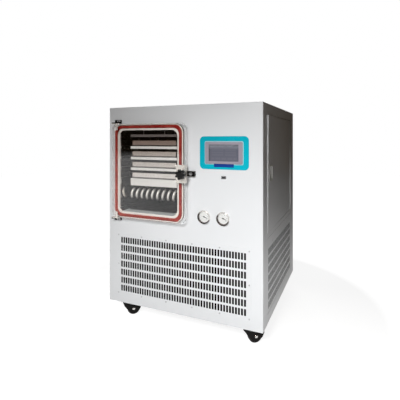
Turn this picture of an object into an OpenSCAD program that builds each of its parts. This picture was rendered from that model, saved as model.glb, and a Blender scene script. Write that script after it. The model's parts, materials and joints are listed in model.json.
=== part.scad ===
// Pilot freeze dryer: a sheet-metal cabinet on four swivel casters, with a stainless vacuum
// chamber behind a clear hinged door, a shelf stack with trays, a touch panel, two
// refrigeration gauges and a slotted intake grille. Millimetres, +Z up, front towards -Y.
// The origin is on the floor, under the centre of the whole machine.

/* [Cabinet] */
// Width of the cabinet
body_w = 896; // [880:1:1000]
// Depth of the cabinet
body_d = 876; // [860:1:960]
// Height of the cabinet above its underside
body_h = 1100; // [1090:1:1180]
// Thickness of the outer sheets
sheet_t = 1.5; // [1:0.1:2]
// Outside radius of the folded front corners
fold_r = 5; // [3:0.5:10]
// Depth of the front panel's side returns
return_d = 24; // [18:1:40]
// Thickness of the base pan's floor
pan_t = 3; // [2:0.5:5]
// Height of the base pan's rim
pan_rim_h = 30; // [20:1:40]
// Depth of the top cover's lip
top_lip_h = 12; // [6:1:20]
// Clearance between pieces that are fastened or slid together
fit = 0.3; // [0.2:0.05:0.5]

/* [Intake grille] */
// Width of a slot
slot_w = 8.5; // [6:0.5:10]
// Length of a slot
slot_h = 35; // [25:1:38]
// Distance between the slots of a row
slot_pitch_x = 15.3; // [13:0.1:20]
// Distance between the rows of slots
slot_pitch_z = 45; // [42:1:50]
// Rows of slots
slot_rows = 7; // [4:1:7]
// Height of the lowest slots' centres
slot_first_v = 82.5; // [75:0.5:90]
// Width of the plain border around the front field of slots
grille_border = 22; // [18:1:30]
// Margin between the grille sheet and the cabinet's sides
grille_margin = 56; // [40:1:70]
// Thickness of the grille sheet
grille_t = 1.2; // [1:0.1:2]
// Thickness of the dust filter
filter_t = 8; // [5:1:12]
// Distance that the front panel reaches in behind the grille's screws
grille_hold = 6; // [4:0.5:7]
// Spacing wanted between the grille's screws
screw_step = 153; // [120:1:200]
// Distance of the panel screws from their sheet's edge
screw_inset = 11; // [9:1:15]
// Radius of a panel screw's head
screw_head_r = 4; // [3:0.5:5]
// Radius of a panel screw's shank
screw_r = 2; // [1.5:0.25:2.5]
// Height of a panel screw's head
screw_head_h = 2.2; // [1.5:0.1:3]
// Length of a panel screw's shank
screw_len = 6; // [5:1:10]

/* [Side and rear panels] */
// Margin in front of the side openings
side_front_margin = 92; // [80:1:120]
// Margin behind the side openings
side_rear_margin = 102; // [80:1:130]
// Margin above the access opening
side_top_margin = 55; // [40:1:80]
// Height of the slotted opening's lower edge
vent_bottom = 45; // [40:1:50]
// Height of the slotted opening
vent_h = 380; // [375:1:390]
// Height of the rail between the two side openings
side_rail_h = 25; // [20:1:40]
// Depth that the side panels are set in
side_recess = 3; // [2:0.5:6]
// Depth that the slotted panel is set in
vent_recess = 0.8; // [0.4:0.1:3]
// Gap around a side panel
side_gap = 2; // [1.9:0.1:3]
// Width of the ledge behind a side panel's edge
ledge_w = 12; // [8:1:18]
// Depth of the side door's folded edges
door_return = 10; // [8:0.5:16]
// Radius of the side door's pivot pins
pivot_r = 2; // [1.5:0.25:2.25]
// Distance of the pivot pins' axis from the side door's face and rear edge
pivot_in = 4; // [3.9:0.1:4.4]
// Plain border of the slotted side panel
vent_border = 20; // [15:1:40]
// Width of the finger pull
pull_w = 66; // [50:1:80]
// Height of the finger pull
pull_h = 84; // [70:1:110]
// Depth of the finger pull's cup
pull_depth = 14; // [10:1:20]
// Width of the finger pull's rim
pull_rim = 6; // [4:0.5:9]
// Thickness of the finger pull's metal
pull_t = 1.2; // [0.8:0.1:2]
// Distance from the side door's front edge to the pull
pull_inset = 40; // [30:1:60]
// Height of the pull's centre above the side door's lower edge
pull_v = 293; // [200:1:400]
// Rows of slots in the rear panel
rear_rows = 5; // [2:1:6]
// Width of the plain part beside the rear slots
rear_border = 150; // [120:1:220]
// Width of the flanges that the rear panel is screwed to
rear_flange_w = 22; // [20:1:30]

/* [Vacuum chamber] */
// Inside width of the chamber
chamber_w = 364; // [350:1:370]
// Inside height of the chamber
chamber_h = 452; // [446:1:456]
// Inside depth of the chamber behind the front panel
chamber_d = 520; // [500:1:560]
// Wall thickness of the chamber
chamber_t = 3; // [2:0.5:5]
// Inside corner radius of the chamber
chamber_r = 34; // [25:1:45]
// Distance from the cabinet's left side to the chamber's inside
chamber_left = 82; // [78:1:86]
// Distance from the cabinet's top to the chamber's inside
chamber_top = 130; // [120:1:140]
// Width of the sealing flange
flange_w = 35; // [30:0.5:36]
// Thickness of the sealing flange
flange_t = 14; // [10:0.5:16]
// Width of the square legs under the chamber's back end
leg_w = 30; // [20:1:40]
// Thickness of the chamber's insulation
insulation_t = 30; // [20:1:36]

/* [Shelves and trays] */
// Width of a shelf
shelf_w = 298; // [280:1:310]
// Depth of a shelf
shelf_d = 400; // [360:1:420]
// Thickness of a shelf
shelf_t = 14; // [10:0.5:16]
// Number of heated shelves
shelf_count = 4; // [2:1:4]
// Distance between two shelves
shelf_pitch = 61; // [56:0.5:62]
// Distance from the front panel to the shelves' front edges
shelf_setback = 45; // [30:1:60]
// Distance from the chamber's ceiling to the top plate
hanger_len = 22; // [16:1:26]
// Radius of a hanger stud
hanger_r = 3; // [2:0.25:5]
// Distance of the hanger studs from the top plate's front and back edges
hanger_inset = 12; // [8:1:30]
// Distance between the hanger studs
hanger_span = 136; // [100:1:200]
// Distance from the top plate's underside to the highest shelf's upper face
top_gap = 53; // [50:1:54]
// Width of the rack's square bars
rack_bar = 8; // [6:0.5:10]
// Height of the rack's base beams
rack_beam_h = 27; // [20:1:30]
// Distance of the rack's uprights from the shelves' ends
rack_inset = 90; // [60:1:120]
// Width of a tray
tray_w = 282; // [260:1:290]
// Depth of a tray
tray_d = 380; // [340:1:390]
// Height of a tray
tray_h = 32; // [20:1:35]
// Wall thickness of a tray
tray_t = 1.5; // [1:0.1:2]

/* [Ice condenser coil] */
// Radius of the coil's pipe
coil_pipe_r = 6.5; // [5:0.5:8]
// Radius of the coil at the middle of its pipe
coil_r = 28; // [24:1:32]
// Distance between two turns
coil_pitch = 34; // [30:1:40]
// Distance from the front panel to the coil's axis
coil_setback = 90; // [80:1:150]
// Height of the coil's axis above the chamber's floor
coil_v = 90; // [80:1:93]
// Free space between the coil and the chamber's sides
coil_side_gap = 12; // [8:1:30]

/* [Door] */
// Width of the clear pane
door_w = 450; // [448:1:460]
// Height of the clear pane
door_h = 518; // [516:1:530]
// Thickness of the clear pane
door_t = 25; // [15:1:30]
// Corner radius of the clear pane
door_r = 30; // [15:1:40]
// Distance from the cabinet's left side to the pane
door_left = 53; // [52:1:54]
// Distance from the cabinet's top to the pane
door_top = 95; // [90:1:96]
// Thickness of the door seal
seal_t = 6; // [4:0.5:8]
// Width of the door seal
seal_w = 17; // [12:0.5:18]
// Distance from the chamber's mouth to the seal
seal_inset = 11; // [10:0.5:13]
// Thickness of the latch angle's metal
ear_t = 3; // [2:0.25:4]
// Width of the latch angle on the pane
ear_w = 48; // [45:1:80]
// Height of the latch angle
ear_h = 92; // [70:1:110]
// Height of the latch above the pane's lower edge
latch_v = 257; // [200:1:300]

/* [Hinges] */
// Distance of the hinge axis outside the pane's left edge
hinge_out = 3; // [2:0.5:5]
// Radius of the hinge pins
pin_r = 4; // [3:0.25:5]
// Length of a hinge arm along the pane
arm_len = 50; // [45:1:75]
// Thickness of a hinge arm
arm_t = 4; // [3:0.5:6]
// Width of a hinge arm
arm_w = 14; // [13:1:22]
// Height of a hinge bracket
bracket_h = 20; // [18:1:32]
// Thickness of a hinge bracket's plate
bracket_t = 6; // [4:0.5:8]
// Width of the clip that holds a hinge arm to the pane's front
clip_w = 12; // [10:1:24]
// Length of that clip on the pane's front
clip_len = 34; // [25:1:60]
// Thickness of that clip
clip_t = 2; // [1.5:0.25:3]

/* [Latch] */
// Radius of the latch stud
stud_r = 6; // [5:0.25:7]
// Distance of the stud from the pane's right edge
stud_inset = 9; // [8.5:0.5:10]
// Length of the stud inside the keeper
stud_grip = 11; // [6:0.5:13]
// Radial clearance of the stud in the keeper, the pane and the latch angle
stud_clear = 1; // [0.8:0.1:1.5]
// Length of the sleeve under the knob
sleeve_len = 12; // [8:1:16]
// Outside radius of the sleeve
sleeve_r = 10; // [8:0.5:12]
// Radius of the star knob over its lobes
knob_r = 27; // [22:0.5:32]
// Height of the star knob
knob_h = 28; // [22:1:36]
// Lobes of the star knob
knob_lobes = 7; // [5:1:8]
// Radius of a lobe
lobe_r = 6.5; // [5:0.25:8]
// Width of the keeper block
keeper_w = 62; // [58:1:70]
// Height of the keeper block
keeper_h = 26; // [24:1:32]
// Radius of the keeper bolt's shank
keeper_bolt_r = 5; // [4:0.25:6]
// Radius of a hinge bolt's shank
bolt_r = 3; // [2:0.25:3.5]

/* [Controls] */
// Distance from the cabinet's right side to the control panel's centre
hmi_right = 198; // [185:1:215]
// Distance from the cabinet's top to the control panel's centre
hmi_top = 247; // [235:1:260]
// Width of the coloured overlay
overlay_w = 258; // [240:1:270]
// Height of the coloured overlay
overlay_h = 166; // [150:1:180]
// Thickness of the coloured overlay
overlay_t = 0.8; // [0.5:0.1:1.5]
// Corner radius of the coloured overlay
overlay_r = 22; // [10:1:30]
// Width of the touch panel's frame
hmi_w = 196; // [186:1:210]
// Height of the touch panel's frame
hmi_h = 109; // [104:1:120]
// Thickness of the touch panel's frame
hmi_t = 6; // [4:0.5:9]
// Width of the display
display_w = 156; // [150:1:165]
// Height of the display
display_h = 83; // [78:1:90]
// Thickness of the display glass
display_t = 1.2; // [0.8:0.1:2]
// Depth of the touch panel behind the front panel
hmi_depth = 38; // [30:1:60]
// Distance from the overlay's lower edge to the data port
usb_drop = 40; // [30:1:50]
// Width of the data port's plate
usb_w = 26; // [20:1:30]
// Height of the data port's plate
usb_h = 14; // [12:1:18]

/* [Gauges] */
// Distance from the cabinet's right side to the right gauge
gauge_right = 201; // [180:1:220]
// Height of the gauges' centres
gauge_v = 526; // [510:1:545]
// Distance between the two gauges
gauge_pitch = 103; // [90:1:110]
// Outside radius of a gauge's bezel
gauge_r = 33.5; // [30:0.5:36]
// Height of a gauge's bezel
gauge_h = 11; // [9:0.5:14]
// Radial width of a gauge's bezel
gauge_rim = 3.3; // [2.5:0.1:4]
// Depth of a gauge behind the front panel
gauge_depth = 25; // [18:1:40]
// Thickness of a gauge's glass
lens_t = 2.2; // [1.5:0.1:3]
// Length of a gauge's pointer
needle_len = 18; // [14:0.5:23]
// Width of a gauge's pointer at its hub
needle_w = 4; // [2.4:0.2:5]
// Angle of the pointers below level at rest
needle_down = 22; // [0:1:50]

/* [Refrigeration and heating] */
// Radius of the compressor's can
compressor_r = 110; // [90:1:125]
// Height of the compressor's can
compressor_h = 290; // [240:5:340]
// Distance that the compressor's base plate reaches past its can
compressor_foot = 15; // [8:1:20]
// Free space between the chamber's legs and the compressor's base plate
compressor_gap = 6; // [3:1:15]
// Distance from the cabinet's left side to the compressor's middle
compressor_inset = 230; // [190:5:260]
// Width of the condenser radiator
radiator_w = 460; // [400:5:520]
// Height of the condenser radiator
radiator_h = 330; // [300:5:350]
// Thickness of the condenser radiator
radiator_t = 60; // [40:1:80]
// Distance from the front panel to the radiator
radiator_setback = 70; // [50:1:90]
// Number of radiator fins
fin_count = 36; // [20:1:48]
// Distance from the radiator's fins to its ends
fin_margin = 10; // [8:0.5:16]
// Radius of the fan over its blades
fan_r = 140; // [110:1:145]
// Width of the fan's shroud along its axis
shroud_t = 40; // [30:1:60]
// Number of fan blades
blade_count = 5; // [4:1:7]
// Width of the oil heater
heater_w = 180; // [140:5:200]
// Depth of the oil heater
heater_d = 180; // [140:5:200]
// Height of the oil heater
heater_h = 260; // [200:5:300]
// Distance from the cabinet's right side to the oil heater's middle
heater_inset_x = 200; // [140:5:240]
// Distance from the cabinet's back to the oil heater's middle
heater_inset_y = 230; // [140:5:260]
// Radius of the oil pump's motor
pump_r = 42; // [34:1:50]
// Height of the oil pump's motor
pump_h = 60; // [50:1:80]
// Height of the oil pump's motor
pump_motor_h = 50; // [40:1:60]
// Height of the oil outlet above the heater
outlet_v = 30; // [20:1:40]
// Reach of the oil outlet
outlet_len = 70; // [60:1:80]

/* [Services at the back] */
// Bore radius of the vacuum line
vacuum_bore_r = 20.6; // [12:0.1:24]
// Wall thickness of the vacuum line
vacuum_wall = 1.9; // [1.5:0.1:3]
// Radius of the vacuum line's clamp flange
vacuum_flange_r = 27.5; // [26:0.5:32]
// Length of the vacuum line behind the cabinet
vacuum_out = 45; // [30:1:60]
// Radius of the drain pipe
drain_r = 8; // [6:0.5:10]
// Radius of the drain's hose tail
tail_r = 6.5; // [5:0.5:7.5]
// Length of the drain's hose tail
tail_len = 20; // [15:1:30]
// Side of the drain valve's square body
valve_size = 28; // [24:1:34]
// Length of the drain valve's lever
lever_len = 62; // [50:1:80]
// Bore radius of the mains cable gland
gland_bore_r = 7; // [5:0.5:9]
// Radius of the mains cable gland
gland_r = 15; // [12:0.5:18]
// Width of the main switch
switch_w = 30; // [24:1:36]
// Height of the main switch
switch_h = 50; // [40:1:60]
// Distance from the chamber's ceiling down to the vacuum line
vacuum_drop = 90; // [60:1:120]
// Distance from the chamber's left side to the drain
drain_inset = 50; // [42:1:70]
// Distance from the cabinet's right side to the mains cable gland
gland_inset = 120; // [60:1:150]
// Height of the mains cable gland above the cabinet's underside
gland_v = 640; // [600:5:700]
// Distance from the cabinet's right side to the main switch
switch_inset = 220; // [190:1:260]
// Height of the main switch above the cabinet's underside
switch_v = 660; // [600:5:720]

/* [Casters] */
// Height of the cabinet's underside above the floor
caster_h = 90; // [88:1:100]
// Radius of a caster wheel
wheel_r = 36; // [30:0.5:36.5]
// Width of a caster wheel
wheel_w = 30; // [22:1:34]
// Distance from a caster's swivel axis to its axle
caster_trail = 36; // [24:1:38]
// Distance from the swivel axes to the cabinet's sides
caster_inset_x = 88; // [64:1:110]
// Distance from the swivel axes to the cabinet's front and back
caster_inset_y = 50; // [40:1:90]
// Length of a caster's top plate
caster_plate_l = 104; // [90:1:110]
// Width of a caster's top plate
caster_plate_w = 76; // [60:1:80]
// Thickness of the caster's metal
fork_t = 3; // [2:0.25:4]
// Distance that a fork reaches over the side away from its wheel
fork_nose = 26; // [24:1:40]
// Distance that a fork reaches past its wheel
fork_tail = 8; // [2:1:12]
// Distance from a fork cheek's round edge to the floor
cheek_clear = 8; // [6:0.5:14]
// Radius of a caster's axle
axle_r = 4; // [3:0.25:5]
// Radius of a caster axle's heads
axle_head_r = 8; // [6:0.5:9]
// Radius of a caster's king pin
king_r = 5; // [4:0.25:6]
// Height of a caster's swivel race
race_h = 8; // [6:0.5:10]
// Radius of a caster's swivel race
race_r = 22; // [18:0.5:26]
// Free space between a wheel and its fork's cheeks
fork_gap = 1.2; // [0.8:0.1:2]
// Radial clearance of turning fits
run_fit = 0.08; // [0.04:0.01:0.1]
// Direction of the front left wheel's axle
turn_fl = -52; // [-80:1:80]
// Direction of the front right wheel's axle
turn_fr = -50; // [-80:1:80]
// Direction of the back left wheel's axle
turn_bl = 22; // [-80:1:80]
// Direction of the back right wheel's axle
turn_br = 9; // [-80:1:80]

/* [Hidden] */
$fn = 40;
rim_t = 2;                // thickness of the base pan's rim
over = 1;                 // how far a cut runs past the faces it opens
hair = 0.1;               // clearance of a shaft in its own piece's socket

// Stack of the door in front of the front panel
seal_front = flange_t + seal_t;
door_front = seal_front + door_t;
ear_front = door_front + ear_t;
knob_back = ear_front + sleeve_len;
knob_front = knob_back + knob_h;

// Machine's overall depth and the cabinet's place in it
valve_out = 24;
drain_out = valve_out + valve_size + tail_len;
rear_reach = max(vacuum_out, drain_out);
left_x = -body_w / 2;
right_x = body_w / 2;
front_y = (knob_front - body_d - rear_reach) / 2;
rear_y = front_y + body_d;
base_z = caster_h;
top_z = caster_h + body_h;

// Chamber, door and latch places on the front panel: u from the left side, v from the underside
chamber_u = chamber_left;
chamber_v = body_h - chamber_top - chamber_h;
door_u = door_left;
door_v = body_h - door_top - door_h;
seal_out = seal_inset + seal_w;
stud_u = door_u + door_w - stud_inset;
stud_v = door_v + latch_v;
stud_tip = flange_t + seal_t - 1 - stud_grip;
keeper_t = flange_t + seal_t - 1;
keeper_u = stud_u - stud_r - stud_clear - 4;
hinge_u = door_u - hinge_out;
hinge_off = seal_front + door_t / 2;
door_mid = door_v + door_h / 2;
flange_reach = max(chamber_v + chamber_h + flange_w - door_mid, door_mid - chamber_v + flange_w);
bracket_rise = max(arm_t, flange_reach - door_h / 2) + fit;

// Shelf stack inside the chamber
shelf_u = chamber_u + (chamber_w - shelf_w) / 2;
shelf_y = front_y + shelf_setback;
top_plate_v = chamber_v + chamber_h - hanger_len - shelf_t;
shelf_1_v = top_plate_v - top_gap - shelf_t;
last_shelf_v = shelf_1_v - (shelf_count - 1) * shelf_pitch;

// Side openings
side_y0 = front_y + side_front_margin;
side_y1 = rear_y - side_rear_margin;
access_v0 = vent_bottom + vent_h + side_rail_h;
access_v1 = body_h - side_top_margin;
ledge_x = right_x - vent_recess - sheet_t - fit - sheet_t;
stop_x = right_x - side_recess - door_return - fit - sheet_t;
pivot_x = right_x - side_recess - pivot_in;
pivot_y = side_y1 - side_gap - pivot_in;
pivot_room = side_gap + pivot_in + norm([door_return - pivot_in, pivot_in]) + 2;

// Grille
grille_x0 = left_x + grille_margin;
grille_x1 = right_x - grille_margin;
slots_v1 = slot_first_v + (slot_rows - 1) * slot_pitch_z + slot_h / 2;
grille_v0 = slot_first_v - slot_h / 2 - grille_border;
grille_v1 = slots_v1 + grille_border;
grille_lap = screw_inset + screw_r + grille_hold;
filter_edge = screw_inset + screw_r + 2;

// Controls
hmi_u = body_w - hmi_right;
hmi_v = body_h - hmi_top;
hmi_body_w = hmi_w - 12;
hmi_body_h = hmi_h - 12;
usb_v = hmi_v - overlay_h / 2 - usb_drop;
gauge_u = body_w - gauge_right;
gauge_body_r = gauge_r - 4.5;
gauge_floor = -3;

// Machinery
floor_z = base_z + pan_t;
radiator_y = front_y + radiator_setback;
fan_y = radiator_y + radiator_t;
fan_z = floor_z + radiator_h / 2;
chamber_back = front_y + chamber_d + chamber_t;
compressor_x = left_x + compressor_inset;
compressor_y = chamber_back + compressor_gap + compressor_foot + compressor_r;
heater_x = right_x - heater_inset_x;
heater_y = rear_y - heater_inset_y;

// Services
vacuum_x = left_x + chamber_u + chamber_w / 2;
vacuum_z = base_z + chamber_v + chamber_h - vacuum_drop;
drain_x = left_x + chamber_u + drain_inset;
drain_z = base_z + chamber_v + chamber_r + drain_r;
gland_x = right_x - gland_inset;
gland_z = base_z + gland_v;
switch_x = right_x - switch_inset;
switch_z = base_z + switch_v;

// Casters: [name, side of the centre, side of the centre, axle direction]
fl = [-1, -1, turn_fl];
fr = [1, -1, turn_fr];
bl = [-1, 1, turn_bl];
br = [1, 1, turn_br];
plate_z = caster_h - fork_t;
crown_z = plate_z - race_h - fit - fork_t;

function wheel_place(c) = [c[0] * (body_w / 2 - caster_inset_x),
    (front_y + rear_y) / 2 + c[1] * (body_d / 2 - caster_inset_y), 0];

// ---- Helpers ----

// Box between two corners
module box(lo, hi) {
    translate(lo) cube(hi - lo);
}

// Rectangle with round corners, from the origin
module round_rect(w, h, r) {
    translate([r, 0]) square([w - 2 * r, h]);
    translate([0, r]) square([w, h - 2 * r]);
    for (x = [r, w - r], y = [r, h - r]) {
        translate([x, y]) circle(r);
    }
}

// Flat piece in a plane across Y: its back at y = 0, its front towards -Y
module plate_xz(t) {
    rotate([90, 0, 0]) linear_extrude(t) children();
}

// Flat piece in a plane across X, from x = 0 towards +X
module plate_yz(t) {
    rotate([90, 0, 90]) linear_extrude(t) children();
}

// Puts children on the front panel: u from the left, v from the underside, off in front
module at_front(u, v, off = 0) {
    translate([left_x + u, front_y - off, base_z + v]) children();
}

// Shaft along Y whose near end is at off = a and whose far end is at off = b
module shaft_y(r, a, b) {
    translate([0, -a, 0]) rotate([90, 0, 0]) cylinder(h = b - a, r = r);
}

// Upright slot with round ends, centred
module slot_2d() {
    translate([-slot_w / 2, -(slot_h - slot_w) / 2]) square([slot_w, slot_h - slot_w]);
    for (s = [-1, 1]) {
        translate([0, s * (slot_h - slot_w) / 2]) circle(slot_w / 2);
    }
}

// Field of slots, centred across its width, with its lowest row's centres at y = 0
module slot_field(width, rows) {
    columns = floor((width - slot_w) / slot_pitch_x) + 1;
    for (c = [0 : columns - 1], r = [0 : rows - 1]) {
        translate([(c - (columns - 1) / 2) * slot_pitch_x, r * slot_pitch_z]) slot_2d();
    }
}

// Frame between a rectangle [y0, v0, y1, v1] grown by a and the same one grown by b
module ring_2d(r, a, b) {
    difference() {
        translate([r[0] - a, r[1] - a]) square([r[2] - r[0] + 2 * a, r[3] - r[1] + 2 * a]);
        translate([r[0] - b, r[1] - b]) square([r[2] - r[0] + 2 * b, r[3] - r[1] + 2 * b]);
    }
}

// ---- Cabinet ----

// Floor pan that carries the machinery, with its rim inside the outer sheets
module base_pan() {
    inset = sheet_t + fit;
    w = body_w - 2 * inset;
    d = body_d - 2 * inset;
    r = max(fold_r - inset, 0) + rim_t + 1;
    color("dimgray") difference() {
        translate([left_x + inset, front_y + inset, base_z]) difference() {
            linear_extrude(pan_rim_h) round_rect(w, d, r);
            translate([rim_t, rim_t, pan_t]) linear_extrude(pan_rim_h)
                round_rect(w - 2 * rim_t, d - 2 * rim_t, r - rim_t);
        }
        for (c = [fl, fr, bl, br]) {
            translate(wheel_place(c) + [0, 0, base_z - over]) cylinder(h = pan_t + 2 * over, r = king_r);
        }
        rear_screw_holes();
    }
}

// Folded front panel with the chamber's mouth, the touch panel, the gauges and the intake cut out
module front_panel() {
    h = body_h - sheet_t;
    color("whitesmoke") difference() {
        translate([left_x, front_y, base_z]) linear_extrude(h) intersection() {
            difference() {
                round_rect(body_w, return_d + 2 * fold_r, fold_r);
                translate([sheet_t, sheet_t])
                    round_rect(body_w - 2 * sheet_t, return_d + 2 * fold_r, fold_r - sheet_t);
            }
            square([body_w, return_d]);
        }
        at_front(chamber_u - chamber_t - fit, chamber_v - chamber_t - fit, over) mirror([0, 1, 0])
            plate_xz(sheet_t + 2 * over) round_rect(chamber_w + 2 * (chamber_t + fit),
                chamber_h + 2 * (chamber_t + fit), chamber_r + chamber_t + fit);
        at_front(hmi_u - hmi_body_w / 2 - fit, hmi_v - hmi_body_h / 2 - fit, over)
            cube([hmi_body_w + 2 * fit, sheet_t + 2 * over, hmi_body_h + 2 * fit]);
        at_front(hmi_u - usb_w / 2 + 3 - fit, usb_v - usb_h / 2 + 2 - fit, over)
            cube([usb_w - 6 + 2 * fit, sheet_t + 2 * over, usb_h - 4 + 2 * fit]);
        for (k = [0, 1]) {
            at_front(gauge_u - k * gauge_pitch, gauge_v, 0)
                shaft_y(gauge_body_r + fit, -sheet_t - over, over);
        }
        box([grille_x0 + grille_lap, front_y - over, base_z + grille_v0 + grille_lap],
            [grille_x1 - grille_lap, front_y + sheet_t + over, base_z + grille_v1 - grille_lap]);
        for (p = grille_screw_places()) {
            translate([p[0], front_y, base_z + p[1]]) shaft_y(screw_r + fit, -sheet_t - over, over);
        }
        for (p = front_bolt_places()) {
            at_front(p[0], p[1]) shaft_y(p[2] + fit, -sheet_t - over, over);
        }
    }
}

// Slotted sheet over the intake
module grille_sheet() {
    w = grille_x1 - grille_x0;
    color("whitesmoke") translate([0, front_y, base_z]) plate_xz(grille_t) difference() {
        translate([grille_x0, grille_v0]) square([w, grille_v1 - grille_v0]);
        translate([0, slot_first_v]) slot_field(w - 2 * grille_border, slot_rows);
        for (p = grille_screw_places()) {
            translate([p[0], p[1]]) circle(screw_r + fit);
        }
    }
}

// Places of the grille's screws: rows above and below the slots, and one at each side
function grille_screw_places() = let(
    x0 = grille_x0 + screw_inset,
    x1 = grille_x1 - screw_inset,
    n = round((x1 - x0) / screw_step),
    mid = (grille_v0 + grille_v1) / 2)
    concat([for (v = [grille_v0 + screw_inset, grille_v1 - screw_inset], k = [0 : n])
        [x0 + (x1 - x0) * k / n, v]], [[x0, mid], [x1, mid]]);

// Places of the rear panel's screws: along the base pan's rim and up both side flanges
function rear_screw_places() = let(
    x0 = left_x + screw_inset + sheet_t,
    x1 = right_x - screw_inset - sheet_t,
    v0 = pan_rim_h / 2,
    v1 = body_h - top_lip_h - screw_inset)
    concat([for (k = [0 : 3]) [x0 + (x1 - x0) * k / 3, v0]],
        [for (x = [x0, x1], k = [1 : 3]) [x, v0 + (v1 - v0) * k / 3]]);

// Holes of the rear panel's screws in the pieces that they hold it to
module rear_screw_holes() {
    for (p = rear_screw_places()) {
        translate([p[0], rear_y, base_z + p[1]]) shaft_y(screw_r + fit, 0, screw_len + over);
    }
}

// Flange along a side sheet's rear edge, from x to x + rear_flange_w
module rear_flange(x) {
    difference() {
        box([x, rear_y - 2 * sheet_t, base_z + pan_rim_h + fit],
            [x + rear_flange_w, rear_y - sheet_t, top_z - sheet_t]);
        rear_screw_holes();
    }
}

// One pan-head screw whose head is at off > 0
module pan_screw() {
    difference() {
        union() {
            shaft_y(screw_head_r, 0, screw_head_h);
            shaft_y(screw_r, -screw_len, 0);
        }
        for (a = [0, 90]) {
            rotate([0, a, 0]) translate([-0.5, -screw_head_h - over, -2])
                cube([1, over + 1, 4]);
        }
    }
}

// Screws of the grille and of the rear panel, and bolts of the keeper and the hinge brackets
module fasteners() {
    color("silver") {
        for (p = grille_screw_places()) {
            translate([p[0], front_y - grille_t, base_z + p[1]]) pan_screw();
        }
        for (p = rear_screw_places()) {
            translate([p[0], rear_y, base_z + p[1]]) rotate([0, 0, 180]) pan_screw();
        }
        for (p = front_bolt_places()) {
            at_front(p[0], p[1]) socket_bolt(p[0] > stud_u ? keeper_t : bracket_t, p[2]);
        }
    }
}

// Dust filter behind the intake, clipped to the front panel's back
module dust_filter() {
    color("dimgray") box(
        [grille_x0 + filter_edge, front_y + sheet_t, base_z + grille_v0 + filter_edge],
        [grille_x1 - filter_edge, front_y + sheet_t + filter_t, base_z + grille_v1 - filter_edge]);
}

// Plain left side with its rear flange
module left_side() {
    color("gainsboro") {
        box([left_x, front_y + return_d, base_z],
            [left_x + sheet_t, rear_y - sheet_t, top_z - sheet_t]);
        rear_flange(left_x);
    }
}

// Openings of the right side: [y0, v0, y1, v1]
function access_opening() = [side_y0, access_v0, side_y1, access_v1];
function vent_opening() = [side_y0, vent_bottom, side_y1, vent_bottom + vent_h];

// Right side: a sheet with two openings with folded edges, a ledge for the slotted panel, and
// stops and pivot pins for the side door
module right_side_frame() {
    d = access_opening();
    n = vent_opening();
    color("gainsboro") rear_flange(right_x - rear_flange_w);
    color("gainsboro") translate([0, 0, base_z]) {
        translate([right_x - sheet_t, 0, 0]) plate_yz(sheet_t) difference() {
            translate([front_y + return_d, 0])
                square([body_d - return_d - sheet_t, body_h - sheet_t]);
            for (o = [access_opening(), vent_opening()]) {
                translate([o[0], o[1]]) square([o[2] - o[0], o[3] - o[1]]);
            }
        }
        translate([ledge_x, 0, 0]) plate_yz(right_x - ledge_x) ring_2d(n, sheet_t, 0);
        translate([ledge_x, 0, 0]) plate_yz(sheet_t) ring_2d(n, sheet_t, -ledge_w);
        translate([stop_x, 0, 0]) plate_yz(right_x - stop_x) ring_2d(d, sheet_t, 0);
        translate([stop_x, 0, 0]) plate_yz(sheet_t) difference() {
            translate([d[0] - sheet_t, d[1] - sheet_t])
                square([d[2] - d[0] + sheet_t - pivot_room, d[3] - d[1] + 2 * sheet_t]);
            translate([d[0] + ledge_w, d[1] + ledge_w])
                square([d[2] - d[0], d[3] - d[1] - 2 * ledge_w]);
        }
        for (v = [d[1], d[3] - side_gap - sheet_t - over]) {
            translate([pivot_x, pivot_y, v]) cylinder(h = side_gap + sheet_t + over, r = pivot_r);
        }
    }
}

// Side door: a shallow tray with the hole for its finger pull and the holes for its pivot pins
module side_door() {
    o = access_opening();
    w = o[2] - o[0] - 2 * side_gap;
    h = o[3] - o[1] - 2 * side_gap;
    color("gainsboro") difference() {
        translate([right_x - side_recess - door_return, o[0] + side_gap, base_z + o[1] + side_gap])
            difference() {
                cube([door_return, w, h]);
                translate([-over, sheet_t, sheet_t])
                    cube([door_return - sheet_t + over, w - 2 * sheet_t, h - 2 * sheet_t]);
            }
        translate([right_x - side_recess - sheet_t - over, pull_y() + pull_rim - fit,
            base_z + pull_bottom() + pull_rim - fit])
            cube([sheet_t + 2 * over, pull_w - 2 * pull_rim + 2 * fit, pull_h - 2 * pull_rim + 2 * fit]);
        translate([pivot_x, pivot_y, base_z + o[1]])
            cylinder(h = o[3] - o[1], r = pivot_r + run_fit);
    }
}

function pull_y() = side_y0 + side_gap + pull_inset;
function pull_bottom() = access_v0 + side_gap + pull_v - pull_h / 2;

// Recessed finger pull: a rim on the side door and a cup through it
module side_door_pull() {
    x = right_x - side_recess;
    w = pull_w - 2 * pull_rim;
    h = pull_h - 2 * pull_rim;
    color("silver") translate([x, pull_y(), base_z + pull_bottom()]) difference() {
        union() {
            plate_yz(pull_t) round_rect(pull_w, pull_h, pull_rim);
            translate([-pull_depth, pull_rim, pull_rim]) cube([pull_depth + pull_t / 2, w, h]);
        }
        translate([-pull_depth + pull_t, pull_rim + pull_t, pull_rim + pull_t])
            cube([pull_depth + pull_t, w - 2 * pull_t, h - 2 * pull_t]);
    }
}

// Slotted panel low in the right side
module vent_panel() {
    o = vent_opening();
    w = o[2] - o[0] - 2 * side_gap;
    color("gainsboro") translate([right_x - vent_recess - sheet_t, 0, base_z]) plate_yz(sheet_t)
        difference() {
            translate([o[0] + side_gap, o[1] + side_gap]) square([w, o[3] - o[1] - 2 * side_gap]);
            translate([(o[0] + o[2]) / 2, slot_first_v]) slot_field(w - 2 * vent_border, slot_rows);
        }
}

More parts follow.
